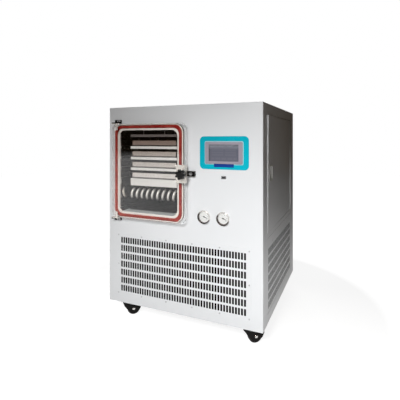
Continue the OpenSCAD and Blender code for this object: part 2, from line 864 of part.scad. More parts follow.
// Rear panel with the exhaust slots and the holes for the services
module rear_panel() {
    color("gainsboro") difference() {
        translate([0, rear_y, base_z]) plate_xz(sheet_t) difference() {
            translate([left_x, 0]) square([body_w, body_h - sheet_t]);
            translate([0, slot_first_v]) slot_field(body_w - 2 * rear_border, rear_rows);
            for (p = rear_screw_places()) {
                translate([p[0], p[1]]) circle(screw_r + fit);
            }
            translate([vacuum_x, vacuum_z - base_z]) circle(vacuum_bore_r + vacuum_wall + fit);
            translate([drain_x, drain_z - base_z]) circle(drain_r + fit);
            translate([gland_x, gland_z - base_z]) circle(gland_r - 4 + fit);
            translate([switch_x - switch_w / 2 + 3 - fit, switch_z - base_z - switch_h / 2 + 3 - fit])
                square([switch_w - 6 + 2 * fit, switch_h - 6 + 2 * fit]);
        }
    }
}

// Top cover with a lip inside the outer sheets
module top_cover() {
    inset = sheet_t + fit;
    color("gainsboro") {
        translate([left_x, front_y, top_z - sheet_t]) linear_extrude(sheet_t) {
            round_rect(body_w, 2 * fold_r + 1, fold_r);
            translate([0, fold_r]) square([body_w, body_d - fold_r]);
        }
        translate([0, 0, top_z - sheet_t - top_lip_h]) linear_extrude(top_lip_h + sheet_t / 2)
            ring_2d([left_x, front_y, right_x, rear_y], -inset - fold_r, -inset - fold_r - sheet_t);
    }
}

// ---- Vacuum chamber ----

// Stainless chamber with its sealing flange, its ports and the legs under its back end
module chamber() {
    w = chamber_w + 2 * chamber_t;
    h = chamber_h + 2 * chamber_t;
    leg_y = chamber_back - leg_w;
    color("silver") difference() {
        union() {
            translate([left_x + chamber_u - chamber_t, chamber_back, base_z + chamber_v - chamber_t])
                plate_xz(chamber_d + chamber_t + flange_t) round_rect(w, h, chamber_r + chamber_t);
            at_front(chamber_u - flange_w, chamber_v - flange_w) plate_xz(flange_t)
                round_rect(chamber_w + 2 * flange_w, chamber_h + 2 * flange_w, chamber_r + flange_w / 2);
            for (x = [chamber_u + 50, chamber_u + chamber_w - 50 - leg_w]) {
                box([left_x + x, leg_y, floor_z],
                    [left_x + x + leg_w, chamber_back, base_z + chamber_v - chamber_t / 2]);
            }
        }
        translate([left_x + chamber_u, chamber_back - chamber_t, base_z + chamber_v])
            plate_xz(chamber_d + flange_t + over) round_rect(chamber_w, chamber_h, chamber_r);
        translate([vacuum_x, chamber_back, vacuum_z])
            shaft_y(vacuum_bore_r + vacuum_wall + hair, -over, chamber_t + over);
        translate([drain_x, chamber_back, drain_z]) shaft_y(drain_r + hair, -over, chamber_t + over);
    }
}

// Foam around the chamber's sides, from the front panel to the legs
module insulation() {
    g = chamber_t + fit;
    y1 = chamber_back - leg_w - fit;
    length = y1 - front_y - sheet_t - fit;
    color("khaki") translate([left_x + chamber_u, y1, base_z + chamber_v]) plate_xz(length) difference() {
        translate([-g - insulation_t, -g - insulation_t])
            round_rect(chamber_w + 2 * (g + insulation_t), chamber_h + 2 * (g + insulation_t),
                chamber_r + g + insulation_t);
        translate([-g, -g]) round_rect(chamber_w + 2 * g, chamber_h + 2 * g, chamber_r + g);
    }
}

// One shelf plate whose upper face is at height v
module shelf_plate(v) {
    translate([left_x + shelf_u, shelf_y, base_z + v - shelf_t]) cube([shelf_w, shelf_d, shelf_t]);
}

// Heated shelves, and the top plate with the studs that it hangs from
module shelf_plates() {
    color("lightgray") {
        for (k = [0 : shelf_count - 1]) {
            shelf_plate(shelf_1_v - k * shelf_pitch + shelf_t);
        }
        shelf_plate(top_plate_v + shelf_t);
        for (x = [-1, 1], y = [shelf_y + hanger_inset, shelf_y + shelf_d - hanger_inset]) {
            translate([left_x + shelf_u + shelf_w / 2 + x * hanger_span / 2, y,
                base_z + top_plate_v + shelf_t / 2]) cylinder(h = shelf_t / 2 + hanger_len, r = hanger_r);
        }
    }
}

// Welded rack: four uprights beside the plates on a frame of base beams
module shelf_rack() {
    x0 = left_x + shelf_u;
    x1 = x0 + shelf_w;
    y1 = shelf_y + shelf_d;
    z0 = base_z + last_shelf_v - rack_beam_h;
    z1 = base_z + last_shelf_v;
    color("silver") {
        for (x = [x0 - rack_bar, x1], y = [shelf_y + rack_inset, y1 - rack_inset]) {
            box([x, y, z0], [x + rack_bar, y + rack_bar, base_z + top_plate_v + shelf_t]);
        }
        difference() {
            box([x0 - rack_bar, shelf_y, z0], [x1 + rack_bar, y1, z1]);
            box([x0 + 2, shelf_y + 2, z0 - over], [x1 - 2, y1 - 2, z1 + over]);
            for (x = [x0 - rack_bar - over, x1]) {
                box([x, shelf_y - over, z0 - over], [x + rack_bar + over, shelf_y + rack_inset, z1 + over]);
                box([x, shelf_y + rack_inset + rack_bar, z0 - over],
                    [x + rack_bar + over, y1 - rack_inset, z1 + over]);
                box([x, y1 - rack_inset + rack_bar, z0 - over], [x + rack_bar + over, y1 + over, z1 + over]);
            }
        }
    }
}

// Trays: an open pan on each heated shelf
module trays() {
    color("lightgray") for (k = [0 : shelf_count - 1]) {
        lo = [left_x + shelf_u + (shelf_w - tray_w) / 2, shelf_y + 6,
            base_z + shelf_1_v - k * shelf_pitch + shelf_t];
        hi = lo + [tray_w, tray_d, tray_h];
        difference() {
            box(lo, hi);
            box(lo + [tray_t, tray_t, tray_t], hi + [-tray_t, -tray_t, over]);
        }
    }
}

// Points of the coil's pipe: from the back wall, round the turns, and to the back wall again
coil_x0 = left_x + chamber_u + coil_side_gap + coil_pipe_r;
coil_x1 = left_x + chamber_u + chamber_w - coil_side_gap - coil_pipe_r;
coil_turns = floor((coil_x1 - coil_x0) / coil_pitch - 0.5) + 0.5;
coil_start = (coil_x0 + coil_x1 - coil_turns * coil_pitch) / 2;
coil_y = front_y + coil_setback;
coil_z = base_z + chamber_v + coil_v;
coil_run = chamber_d - coil_setback;
steps = 18;
function coil_path() = concat(
    [for (k = [0 : 3]) [coil_start, chamber_back - chamber_t - k * coil_run / 4, coil_z - coil_r]],
    [for (k = [0 : coil_turns * steps]) [coil_start + k * coil_pitch / steps,
        coil_y - coil_r * sin(k * 360 / steps), coil_z - coil_r * cos(k * 360 / steps)]],
    [for (k = [3 : -1 : 0]) [coil_start + coil_turns * coil_pitch,
        chamber_back - chamber_t - k * coil_run / 4, coil_z + coil_r]]);

// Pipe of radius r along points p, with n sides, whose path never runs along X
function unit(v) = v / norm(v);
function along(p, i) = unit(p[min(i + 1, len(p) - 1)] - p[max(i - 1, 0)]);
module pipe_along(p, r, n) {
    rings = [for (i = [0 : len(p) - 1], k = [0 : n - 1]) let(
        t = along(p, i), a = unit(cross(t, [1, 0, 0])), b = cross(t, a))
        p[i] + r * (a * cos(k * 360 / n) + b * sin(k * 360 / n))];
    last = len(p) - 1;
    walls = [for (i = [0 : last - 1], k = [0 : n - 1]) let(m = (k + 1) % n)
        [i * n + k, (i + 1) * n + k, (i + 1) * n + m, i * n + m]];
    polyhedron(rings, concat(walls, [[for (k = [0 : n - 1]) k], [for (k = [n - 1 : -1 : 0]) last * n + k]]));
}

// Ice condenser coil low in the chamber
module condenser_coil() {
    color("silver") pipe_along(coil_path(), coil_pipe_r, 8);
}

// ---- Door ----

// Clear pane with the notch in its edge for the latch stud
module door_pane() {
    notch = stud_r + stud_clear;
    color("lightcyan", 0.4) difference() {
        at_front(door_u, door_v, seal_front) plate_xz(door_t) round_rect(door_w, door_h, door_r);
        at_front(stud_u, stud_v) shaft_y(notch, seal_front - over, door_front + over);
        at_front(stud_u, stud_v - notch, door_front + over)
            cube([stud_inset + over, door_t + 2 * over, 2 * notch]);
    }
}

// Silicone seal on the pane's back
module door_seal() {
    color("firebrick") at_front(chamber_u - seal_out, chamber_v - seal_out, flange_t + fit)
        plate_xz(seal_t - fit) difference() {
            round_rect(chamber_w + 2 * seal_out, chamber_h + 2 * seal_out, chamber_r + seal_w / 2);
            translate([seal_w, seal_w]) round_rect(chamber_w + 2 * seal_inset,
                chamber_h + 2 * seal_inset, chamber_r);
        }
}

// Steel angle round the pane's edge, which the knob presses on
module latch_angle() {
    right = door_u + door_w;
    v = stud_v - ear_h / 2;
    color("gray") difference() {
        union() {
            at_front(right - ear_w, v, door_front) plate_xz(ear_t) square([ear_w + ear_t, ear_h]);
            at_front(right, v, seal_front) plate_xz(door_t + ear_t) square([ear_t, ear_h]);
        }
        at_front(stud_u, stud_v) shaft_y(stud_r + stud_clear, door_front - over, ear_front + over);
    }
}

// Puts children at the upper hinge and, mirrored, at the lower one; z = 0 is the pane's edge
module at_hinges() {
    for (s = [0, 1]) {
        at_front(hinge_u, door_mid, 0) mirror([0, 0, s]) translate([0, 0, door_h / 2])
            children();
    }
}

// Flat arms on the pane's upper and lower edges, each with a clip down the pane's front
module hinge_arms() {
    x = arm_len - arm_w / 2 - 2 - clip_w;
    color("silver") at_hinges() difference() {
        union() {
            translate([0, -hinge_off - arm_w / 2, 0]) cube([arm_len - arm_w / 2, arm_w, arm_t]);
            translate([0, -hinge_off, 0]) cylinder(h = arm_t, r = arm_w / 2);
            translate([x, -door_front - clip_t, 0]) cube([clip_w, door_front + clip_t - hinge_off, arm_t]);
            translate([x, -door_front - clip_t, -clip_len]) cube([clip_w, clip_t, clip_len + arm_t]);
        }
        translate([0, -hinge_off, -over]) cylinder(h = arm_t + 2 * over, r = pin_r + run_fit);
    }
}

// Brackets on the front panel with the pins that the arms turn on
module hinge_brackets() {
    z0 = bracket_rise;
    color("black") at_hinges() {
        difference() {
            union() {
                translate([-arm_w / 2, -bracket_t, z0]) cube([arm_len - arm_w / 2, bracket_t, bracket_h]);
                translate([-arm_w / 2, -hinge_off, z0]) cube([arm_w, hinge_off, bracket_t]);
                translate([0, -hinge_off, z0]) cylinder(h = bracket_t, r = arm_w / 2);
            }
            for (x = hinge_bolt_xs()) {
                translate([x, 0, z0 + bracket_t + (bracket_h - bracket_t) / 2])
                    shaft_y(bolt_r + fit, -over, bracket_t + over);
            }
        }
        translate([0, -hinge_off, fit]) cylinder(h = z0 + bracket_t - fit, r = pin_r);
    }
}

function hinge_bolt_xs() = [arm_w / 2 + 8, arm_len - arm_w - 8];

// Places and shank radii of the keeper's bolt and the hinge brackets' bolts: [u, v, radius]
function front_bolt_places() = let(
    up = door_h / 2 + bracket_rise + bracket_t + (bracket_h - bracket_t) / 2)
    concat([[keeper_u + keeper_w - 18, stud_v, keeper_bolt_r]],
        [for (x = hinge_bolt_xs(), s = [-1, 1]) [hinge_u + x, door_mid + s * up, bolt_r]]);

// Keeper block with the socket that the stud enters
module latch_keeper() {
    color("black") difference() {
        at_front(keeper_u, stud_v - keeper_h / 2) plate_xz(keeper_t) square([keeper_w, keeper_h]);
        at_front(stud_u, stud_v) shaft_y(stud_r + stud_clear, stud_tip - 3, keeper_t + over);
        at_front(front_bolt_places()[0][0], stud_v) shaft_y(keeper_bolt_r + fit, -over, keeper_t + over);
    }
}

// Socket-head bolt of shank radius r whose head stands on off = seat
module socket_bolt(seat, r) {
    difference() {
        union() {
            shaft_y(r * 5 / 3, seat, seat + r * 4 / 3);
            shaft_y(r, -6, seat);
        }
        translate([0, -seat - r * 2 / 3, 0]) rotate([90, 0, 0]) cylinder(h = r * 4 / 3, r = r, $fn = 6);
    }
}

// Sleeve between the latch angle and the knob
module latch_sleeve() {
    color("silver") at_front(stud_u, stud_v) difference() {
        shaft_y(sleeve_r, ear_front, knob_back);
        shaft_y(stud_r + run_fit, ear_front - over, knob_back + over);
    }
}

// Threaded stud moulded into the knob
module latch_stud() {
    color("silver") at_front(stud_u, stud_v) {
        shaft_y(stud_r, stud_tip, knob_front - 8);
        shaft_y(stud_r - 1, stud_tip - 1.5, stud_tip);
    }
}

// Star knob: a lobed grip on a hub, with a raised cap
module star_knob() {
    hub_h = 6;
    cap_h = 4;
    color("black") at_front(stud_u, stud_v) difference() {
        union() {
            shaft_y(sleeve_r + 2, knob_back, knob_back + hub_h);
            translate([0, -knob_back - hub_h, 0]) rotate([90, 0, 0])
                linear_extrude(knob_h - hub_h - cap_h) {
                    circle(knob_r - lobe_r - 1);
                    for (k = [0 : knob_lobes - 1]) {
                        rotate(k * 360 / knob_lobes) translate([knob_r - lobe_r, 0]) circle(lobe_r);
                    }
                }
            translate([0, -knob_front + cap_h, 0]) rotate([90, 0, 0])
                cylinder(h = cap_h, r1 = knob_r / 2 + 2, r2 = knob_r / 2 - 1);
        }
        shaft_y(stud_r + hair, knob_back - over, knob_front - 8 + hair);
    }
}

// ---- Controls ----

// Coloured overlay around the touch panel
module overlay() {
    color("deepskyblue") at_front(hmi_u, hmi_v) plate_xz(overlay_t) difference() {
        translate([-overlay_w / 2, -overlay_h / 2]) round_rect(overlay_w, overlay_h, overlay_r);
        translate([-hmi_body_w / 2 - fit, -hmi_body_h / 2 - fit])
            square([hmi_body_w + 2 * fit, hmi_body_h + 2 * fit]);
    }
}

// Touch panel: a frame in front of the overlay and a housing through the front panel
module touch_panel() {
    color("slategray") at_front(hmi_u, hmi_v, overlay_t) difference() {
        union() {
            plate_xz(hmi_t) translate([-hmi_w / 2, -hmi_h / 2]) round_rect(hmi_w, hmi_h, 6);
            translate([-hmi_body_w / 2, -over, -hmi_body_h / 2])
                cube([hmi_body_w, hmi_depth + over, hmi_body_h]);
        }
        translate([-display_w / 2 - fit, -hmi_t - over, -display_h / 2 - fit])
            cube([display_w + 2 * fit, display_t + 0.4 + over, display_h + 2 * fit]);
    }
}

// Display glass in the frame's recess
module display_glass() {
    color("dimgray") at_front(hmi_u, hmi_v, overlay_t + hmi_t - display_t - 0.4) plate_xz(display_t)
        translate([-display_w / 2, -display_h / 2]) square([display_w, display_h]);
}

// Data port: a small plate with a socket
module data_port() {
    color("dimgray") at_front(hmi_u, usb_v) difference() {
        union() {
            plate_xz(2) translate([-usb_w / 2, -usb_h / 2]) round_rect(usb_w, usb_h, 2);
            translate([-usb_w / 2 + 3, -over, -usb_h / 2 + 2]) cube([usb_w - 6, 20 + over, usb_h - 4]);
        }
        translate([-6.5, -2 - over, -3]) cube([13, 14 + over, 6]);
    }
}

// Puts children at both gauges
module at_gauges() {
    for (k = [0, 1]) {
        at_front(gauge_u - k * gauge_pitch, gauge_v) children();
    }
}

// Gauge housings: a bezel on the front panel and a cup through it
module gauge_cases() {
    step = gauge_h - lens_t - 1.3;
    color("silver") at_gauges() difference() {
        union() {
            shaft_y(gauge_r, 0, gauge_h);
            shaft_y(gauge_body_r, -gauge_depth, 0);
        }
        shaft_y(gauge_body_r - 1, gauge_floor, gauge_h + over);
        shaft_y(gauge_r - gauge_rim, step, gauge_h + over);
        shaft_y(1 + run_fit, gauge_floor - 5, gauge_h);
    }
}

// Dials on the housings' floors
module gauge_dials() {
    color("white") at_gauges() difference() {
        shaft_y(gauge_body_r - 1 - fit, gauge_floor, gauge_floor + 0.8);
        shaft_y(1 + run_fit, gauge_floor - over, gauge_floor + 0.8 + over);
    }
}

// Pointer with its hub and shaft, pointing down and to the right
module needle() {
    a = needle_w / 2;
    color("black") {
        shaft_y(1, gauge_floor - 4, gauge_floor + 2);
        shaft_y(3, gauge_floor + 1.6, gauge_floor + 4.2);
        rotate([0, needle_down, 0]) translate([0, -gauge_floor - 2.2, 0]) plate_xz(0.8)
            polygon([[-8, -a], [needle_len, -a / 2], [needle_len, a / 2], [-8, a]]);
    }
}

module suction_needle() {
    at_front(gauge_u - gauge_pitch, gauge_v) needle();
}

module discharge_needle() {
    at_front(gauge_u, gauge_v) needle();
}

// Gauge glasses on the steps inside the bezels
module gauge_glasses() {
    step = gauge_h - lens_t - 1.3;
    color("lightcyan", 0.3) at_gauges() shaft_y(gauge_r - gauge_rim - fit / 2, step, step + lens_t);
}

// ---- Refrigeration and heating ----

// Compressor: a domed can on a foot plate
module compressor() {
    foot_t = 6;
    dome_h = 50;
    color("black") translate([compressor_x, compressor_y, floor_z]) {
        translate([-compressor_r - compressor_foot, -compressor_r - compressor_foot, 0])
            cube([2 * (compressor_r + compressor_foot), 2 * (compressor_r + compressor_foot), foot_t]);
        translate([0, 0, foot_t / 2]) cylinder(h = compressor_h - dome_h - foot_t / 2, r = compressor_r);
        translate([0, 0, compressor_h - dome_h])
            cylinder(h = dome_h, r1 = compressor_r, r2 = compressor_r * 0.55);
        translate([0, 0, compressor_h / 2])
            cylinder(h = 10, r = compressor_r + 5);
    }
}

// Condenser radiator: end plates, fins and the tubes through them, standing on the base pan
module radiator() {
    pitch = (radiator_w - 8) / (fin_count + 1);
    color("peru") translate([-radiator_w / 2, radiator_y, floor_z]) {
        for (x = [0, radiator_w - 4]) {
            translate([x, 0, 0]) cube([4, radiator_t, radiator_h]);
        }
        for (z = [30 : 45 : radiator_h - 15]) {
            translate([2, radiator_t / 2, z]) rotate([0, 90, 0]) cylinder(h = radiator_w - 4, r = 5);
        }
        for (k = [1 : fin_count]) {
            translate([4 + k * pitch - 0.4, 4, fin_margin])
                cube([0.8, radiator_t - 8, radiator_h - 2 * fin_margin]);
        }
    }
}

// Fan shroud behind the radiator, with the motor on four arms
module fan_shroud() {
    hub_r = 40;
    w = radiator_w;
    color("dimgray") translate([0, fan_y, 0]) difference() {
        union() {
            difference() {
                box([-w / 2, 0, floor_z], [w / 2, shroud_t, floor_z + radiator_h]);
                translate([0, 0, fan_z]) shaft_y(fan_r + 8, -shroud_t - over, over);
                box([-w / 2 + 3, -over, floor_z + 3], [w / 2 - 3, shroud_t - 3, floor_z + radiator_h - 3]);
            }
            intersection() {
                translate([0, 0, fan_z]) shaft_y(fan_r + 10, -shroud_t, -shroud_t + 3);
                for (a = [45, 135]) {
                    translate([0, shroud_t - 3, fan_z]) rotate([0, a, 0])
                        translate([-fan_r - 20, 0, -8]) cube([2 * fan_r + 40, 3, 16]);
                }
            }
            translate([0, 0, fan_z]) shaft_y(hub_r, -shroud_t - 45, -shroud_t + 3);
        }
        translate([0, 0, fan_z]) shaft_y(6 + run_fit, -shroud_t - 20, -shroud_t + 3 + over);
    }
}

// Fan rotor: a hub on a shaft, and pitched blades
module fan_rotor() {
    hub_r = 38;
    depth = 22;
    color("black") translate([0, fan_y, fan_z]) {
        shaft_y(hub_r, -8 - depth, -8);
        shaft_y(6, -shroud_t - 15, -8 - depth);
        for (k = [0 : blade_count - 1]) {
            rotate([0, k * 360 / blade_count, 0]) intersection() {
                shaft_y(fan_r, -6 - depth, -10);
                translate([0, 8 + depth / 2, hub_r - 6]) rotate([0, 0, 17])
                    translate([-28, -1.5, 0]) cube([56, 3, fan_r]);
            }
        }
    }
}

// Heater for the shelves' silicone oil, with its pump on top
module oil_heater() {
    color("steelblue") translate([heater_x, heater_y, floor_z]) {
        translate([-heater_w / 2, -heater_d / 2, 0]) cube([heater_w, heater_d, heater_h]);
        translate([0, 0, heater_h - over]) cylinder(h = pump_h + over, r = pump_r);
        translate([0, 0, heater_h + pump_h - over]) cylinder(h = pump_motor_h + over, r = pump_r * 0.8);
        translate([0, 0, heater_h + outlet_v]) rotate([0, -90, 0]) cylinder(h = outlet_len, r = 11);
    }
}

// ---- Services at the back ----

// Vacuum line from the chamber's back wall to its clamp flange
module vacuum_line() {
    color("silver") translate([vacuum_x, rear_y, vacuum_z]) difference() {
        union() {
            shaft_y(vacuum_bore_r + vacuum_wall, -vacuum_out, rear_y - chamber_back + chamber_t);
            shaft_y(vacuum_flange_r, -vacuum_out, -vacuum_out + 3);
            translate([0, vacuum_out - 3, 0]) rotate([90, 0, 0])
                cylinder(h = 4, r1 = vacuum_flange_r, r2 = vacuum_bore_r + vacuum_wall);
        }
        shaft_y(vacuum_bore_r, -vacuum_out - over, rear_y - chamber_back + chamber_t + over);
    }
}

// Drain: a pipe from the chamber's floor, a ball valve and a hose tail
module drain_valve() {
    s = valve_size;
    color("gold") translate([drain_x, rear_y, drain_z]) difference() {
        union() {
            shaft_y(drain_r, -valve_out - s / 2, rear_y - chamber_back + chamber_t);
            translate([-s / 2, valve_out, -s / 2]) cube([s, s, s]);
            shaft_y(tail_r, -drain_out, -valve_out - s + over);
            translate([0, valve_out + s / 2, s / 2 - over]) cylinder(h = 6 + over, r = 8);
        }
        shaft_y(4, -drain_out - over, rear_y - chamber_back + chamber_t + over);
        translate([0, valve_out + s / 2, s / 2 - 2]) cylinder(h = 10, r = 4 + run_fit);
    }
}

// Lever of the drain valve with its stem
module drain_lever() {
    z = valve_size / 2;
    color("red") translate([drain_x, rear_y + valve_out + valve_size / 2, drain_z]) {
        translate([0, 0, z - 1]) cylinder(h = 9, r = 4);
        translate([0, 0, z + 6 + fit]) cylinder(h = 3, r = 9);
        translate([0, -7, z + 6 + fit]) cube([lever_len, 14, 3]);
    }
}

// Cable gland for the mains, with a nut inside
module cable_gland() {
    color("dimgray") translate([gland_x, rear_y, gland_z]) difference() {
        union() {
            rotate([-90, 0, 0]) cylinder(h = 8, r = gland_r, $fn = 6);
            shaft_y(gland_r - 2, -24, -8 + over);
            shaft_y(gland_r - 4, -8, sheet_t + 9);
            translate([0, -sheet_t, 0]) rotate([90, 0, 0]) cylinder(h = 5, r = gland_r, $fn = 6);
        }
        shaft_y(gland_bore_r, -24 - over, sheet_t + 9 + over);
    }
}

// Housing of the main switch
module switch_body() {
    w = switch_w;
    h = switch_h;
    color("black") translate([switch_x, rear_y, switch_z]) difference() {
        union() {
            translate([0, 3, 0]) plate_xz(3) translate([-w / 2, -h / 2]) round_rect(w, h, 3);
            translate([-w / 2 + 3, -28, -h / 2 + 3]) cube([w - 6, 28 + over, h - 6]);
        }
        translate([-w / 2 + 5, -12, -h / 2 + 5]) cube([w - 10, 15 + over, h - 10]);
        translate([0, -3, 0]) rotate([0, 90, 0]) cylinder(h = w - 7, r = 2 + run_fit, center = true);
    }
}

// Rocker of the main switch: two slanting faces on a shaft
module switch_rocker() {
    w = switch_w - 10 - 2 * fit;
    a = switch_h / 2 - 7;
    color("red") translate([switch_x, rear_y - 3, switch_z]) rotate([90, 0, 90]) {
        translate([0, 0, -w / 2]) linear_extrude(w)
            polygon([[-3, -6], [-3, 6], [3, a], [8, a - 1], [4, 0], [3, -a + 1], [0, -a]]);
        translate([0, 0, -w / 2 - 0.6]) cylinder(h = w + 1.2, r = 2);
    }
}

// ---- Casters ----

// Top plates with their ball races and king pins
module caster_plates() {
    color("black") for (c = [fl, fr, bl, br]) {
        translate(wheel_place(c)) {
            translate([-caster_plate_l / 2, -caster_plate_w / 2, plate_z])
                cube([caster_plate_l, caster_plate_w, fork_t]);
            translate([0, 0, plate_z - race_h]) cylinder(h = race_h + over, r = race_r);
            translate([0, 0, crown_z - 3 - fit]) cylinder(h = plate_z - crown_z + 3 + fit, r = king_r);
            translate([0, 0, crown_z - 3 - fit]) cylinder(h = 3, r = king_r + 4);
        }
    }
}

// Side profile of a fork's cheek: a broad shield from the crown that rounds over the wheel
module cheek_profile() {
    top = crown_z + fork_t;
    r = wheel_r - cheek_clear;
    tail = caster_trail + wheel_r + fork_tail;
    polygon([[-fork_nose, top], [tail, top], [tail, wheel_r + 0.4 * r],
        [tail - 0.4 * r, wheel_r - 0.35 * r], [caster_trail + 0.6 * r, wheel_r - 0.6 * r],
        [caster_trail - 0.6 * r, wheel_r - 0.6 * r], [caster_trail - 1.35 * r, wheel_r],
        [-fork_nose + 0.35 * r, wheel_r + 0.65 * r]]);
    translate([caster_trail, wheel_r]) circle(r);
}

// Swivel fork for the caster at corner c
module fork(c) {
    gap = wheel_w / 2 + fork_gap;
    color("black") translate(wheel_place(c)) rotate([0, 0, c[2]]) difference() {
        union() {
            for (s = [-1, 1]) {
                translate([s * (gap + fork_t / 2) - fork_t / 2, 0, 0]) plate_yz(fork_t) cheek_profile();
            }
            box([-gap - fork_t / 2, -fork_nose, crown_z],
                [gap + fork_t / 2, caster_trail + wheel_r + fork_tail, crown_z + fork_t]);
        }
        translate([0, 0, crown_z - over]) cylinder(h = fork_t + 2 * over, r = king_r + run_fit);
        translate([-gap - fork_t - over, caster_trail, wheel_r]) rotate([0, 90, 0])
            cylinder(h = 2 * (gap + fork_t + over), r = axle_r + hair);
    }
}

// Axle bolt with a round head at each end, for the caster at corner c
module axle(c) {
    half = wheel_w / 2 + fork_gap + fork_t + hair;
    r = axle_head_r;
    color("silver") translate(wheel_place(c)) rotate([0, 0, c[2]])
        translate([0, caster_trail, wheel_r]) rotate([0, 90, 0]) rotate_extrude()
            polygon([[0, -half - 5], [r - 3, -half - 5], [r, -half - 2.5], [r, -half], [axle_r, -half],
                [axle_r, half], [r, half], [r, half + 2.5], [r - 3, half + 5], [0, half + 5]]);
}

// Wheel with a rounded tread and a recessed web, for the caster at corner c
module wheel(c) {
    w = wheel_w / 2;
    r = wheel_r;
    color("dimgray") translate(wheel_place(c)) rotate([0, 0, c[2]])
        translate([0, caster_trail, wheel_r]) rotate([0, 90, 0]) rotate_extrude()
            polygon([[axle_r + run_fit, -w], [11, -w], [13, -w + 4], [r - 11, -w + 4], [r - 8, -w + 1],
                [r - 3, -w + 1], [r, -w + 5], [r, w - 5], [r - 3, w - 1], [r - 8, w - 1],
                [r - 11, w - 4], [13, w - 4], [11, w], [axle_r + run_fit, w]]);
}

module fork_fl() {
    fork(fl);
}

module fork_fr() {
    fork(fr);
}

module fork_bl() {
    fork(bl);
}

module fork_br() {
    fork(br);
}

module axle_fl() {
    axle(fl);
}

module axle_fr() {
    axle(fr);
}

module axle_bl() {
    axle(bl);
}

module axle_br() {
    axle(br);
}

module wheel_fl() {
    wheel(fl);
}

module wheel_fr() {
    wheel(fr);
}

module wheel_bl() {
    wheel(bl);
}

module wheel_br() {
    wheel(br);
}

base_pan();
front_panel();
grille_sheet();
dust_filter();
fasteners();
left_side();
right_side_frame();
side_door();
side_door_pull();
vent_panel();
rear_panel();
top_cover();
chamber();
insulation();
shelf_plates();
shelf_rack();
trays();
condenser_coil();
door_pane();
door_seal();
latch_angle();
hinge_arms();
hinge_brackets();
latch_keeper();
latch_sleeve();
latch_stud();
star_knob();
overlay();
touch_panel();
display_glass();
data_port();
gauge_cases();
gauge_dials();
suction_needle();
discharge_needle();
gauge_glasses();
compressor();
radiator();
fan_shroud();
fan_rotor();
oil_heater();
vacuum_line();
drain_valve();
drain_lever();
cable_gland();
switch_body();
switch_rocker();
caster_plates();
fork_fl();
fork_fr();
fork_bl();
fork_br();
axle_fl();
axle_fr();
axle_bl();
axle_br();
wheel_fl();
wheel_fr();
wheel_bl();
wheel_br();
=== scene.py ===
"""Looks of a pilot freeze dryer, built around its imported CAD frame. Metres, +Z up, front -Y."""
import json
import math

import bmesh
import bpy
from mathutils import Matrix, Vector

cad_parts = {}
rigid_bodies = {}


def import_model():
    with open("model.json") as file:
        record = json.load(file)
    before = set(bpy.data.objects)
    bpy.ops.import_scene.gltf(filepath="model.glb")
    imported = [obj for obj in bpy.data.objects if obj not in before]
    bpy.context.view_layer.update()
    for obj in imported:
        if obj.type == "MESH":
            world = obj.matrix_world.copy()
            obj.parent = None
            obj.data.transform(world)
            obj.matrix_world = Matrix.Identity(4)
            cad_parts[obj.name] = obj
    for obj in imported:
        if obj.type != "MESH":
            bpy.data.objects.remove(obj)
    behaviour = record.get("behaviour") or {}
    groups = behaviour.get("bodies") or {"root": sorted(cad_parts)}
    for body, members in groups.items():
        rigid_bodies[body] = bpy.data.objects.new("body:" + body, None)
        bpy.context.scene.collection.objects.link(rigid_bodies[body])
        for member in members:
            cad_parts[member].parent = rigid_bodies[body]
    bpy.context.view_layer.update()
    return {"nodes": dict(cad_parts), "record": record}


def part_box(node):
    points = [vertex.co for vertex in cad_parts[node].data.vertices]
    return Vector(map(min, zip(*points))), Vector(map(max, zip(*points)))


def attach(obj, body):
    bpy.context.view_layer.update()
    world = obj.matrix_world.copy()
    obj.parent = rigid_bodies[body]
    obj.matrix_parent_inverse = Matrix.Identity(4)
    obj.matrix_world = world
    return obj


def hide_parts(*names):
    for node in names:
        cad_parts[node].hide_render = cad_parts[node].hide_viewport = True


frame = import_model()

NODES = frame["nodes"]
NODE_BODY = {n: b for b, names in frame["record"]["behaviour"]["bodies"].items() for n in names}
NODE_SLOT = {s["node"]: s["material_slot"] for s in frame["record"]["subparts"]}


# ---- Node trees as expressions ----

class Sock:
    """A socket of a node tree with arithmetic; an expression adds the Math nodes it needs."""

    def __init__(self, tree, socket):
        self.tree, self.socket = tree, socket

    def _math(self, op, *args):
        return self.tree.node("ShaderNodeMath", {"operation": op}, dict(enumerate(args)))

    def __add__(self, o):
        return self._math("ADD", self, o)

    __radd__ = __add__

    def __sub__(self, o):
        return self._math("SUBTRACT", self, o)

    def __rsub__(self, o):
        return self._math("SUBTRACT", o, self)

    def __mul__(self, o):
        return self._math("MULTIPLY", self, o)

    __rmul__ = __mul__

    def __truediv__(self, o):
        return self._math("DIVIDE", self, o)

    def __gt__(self, o):
        return self._math("GREATER_THAN", self, o)

    def __lt__(self, o):
        return self._math("LESS_THAN", self, o)

    def __pow__(self, o):
        return self._math("POWER", self, o)

    def __abs__(self):
        return self._math("ABSOLUTE", self)

    def __mod__(self, o):
        return self._math("FLOORED_MODULO", self, o)

    def sin(self):
        return self._math("SINE", self)

    def cos(self):
        return self._math("COSINE", self)

    def most(self, o):
        return self._math("MAXIMUM", self, o)

    def least(self, o):
        return self._math("MINIMUM", self, o)


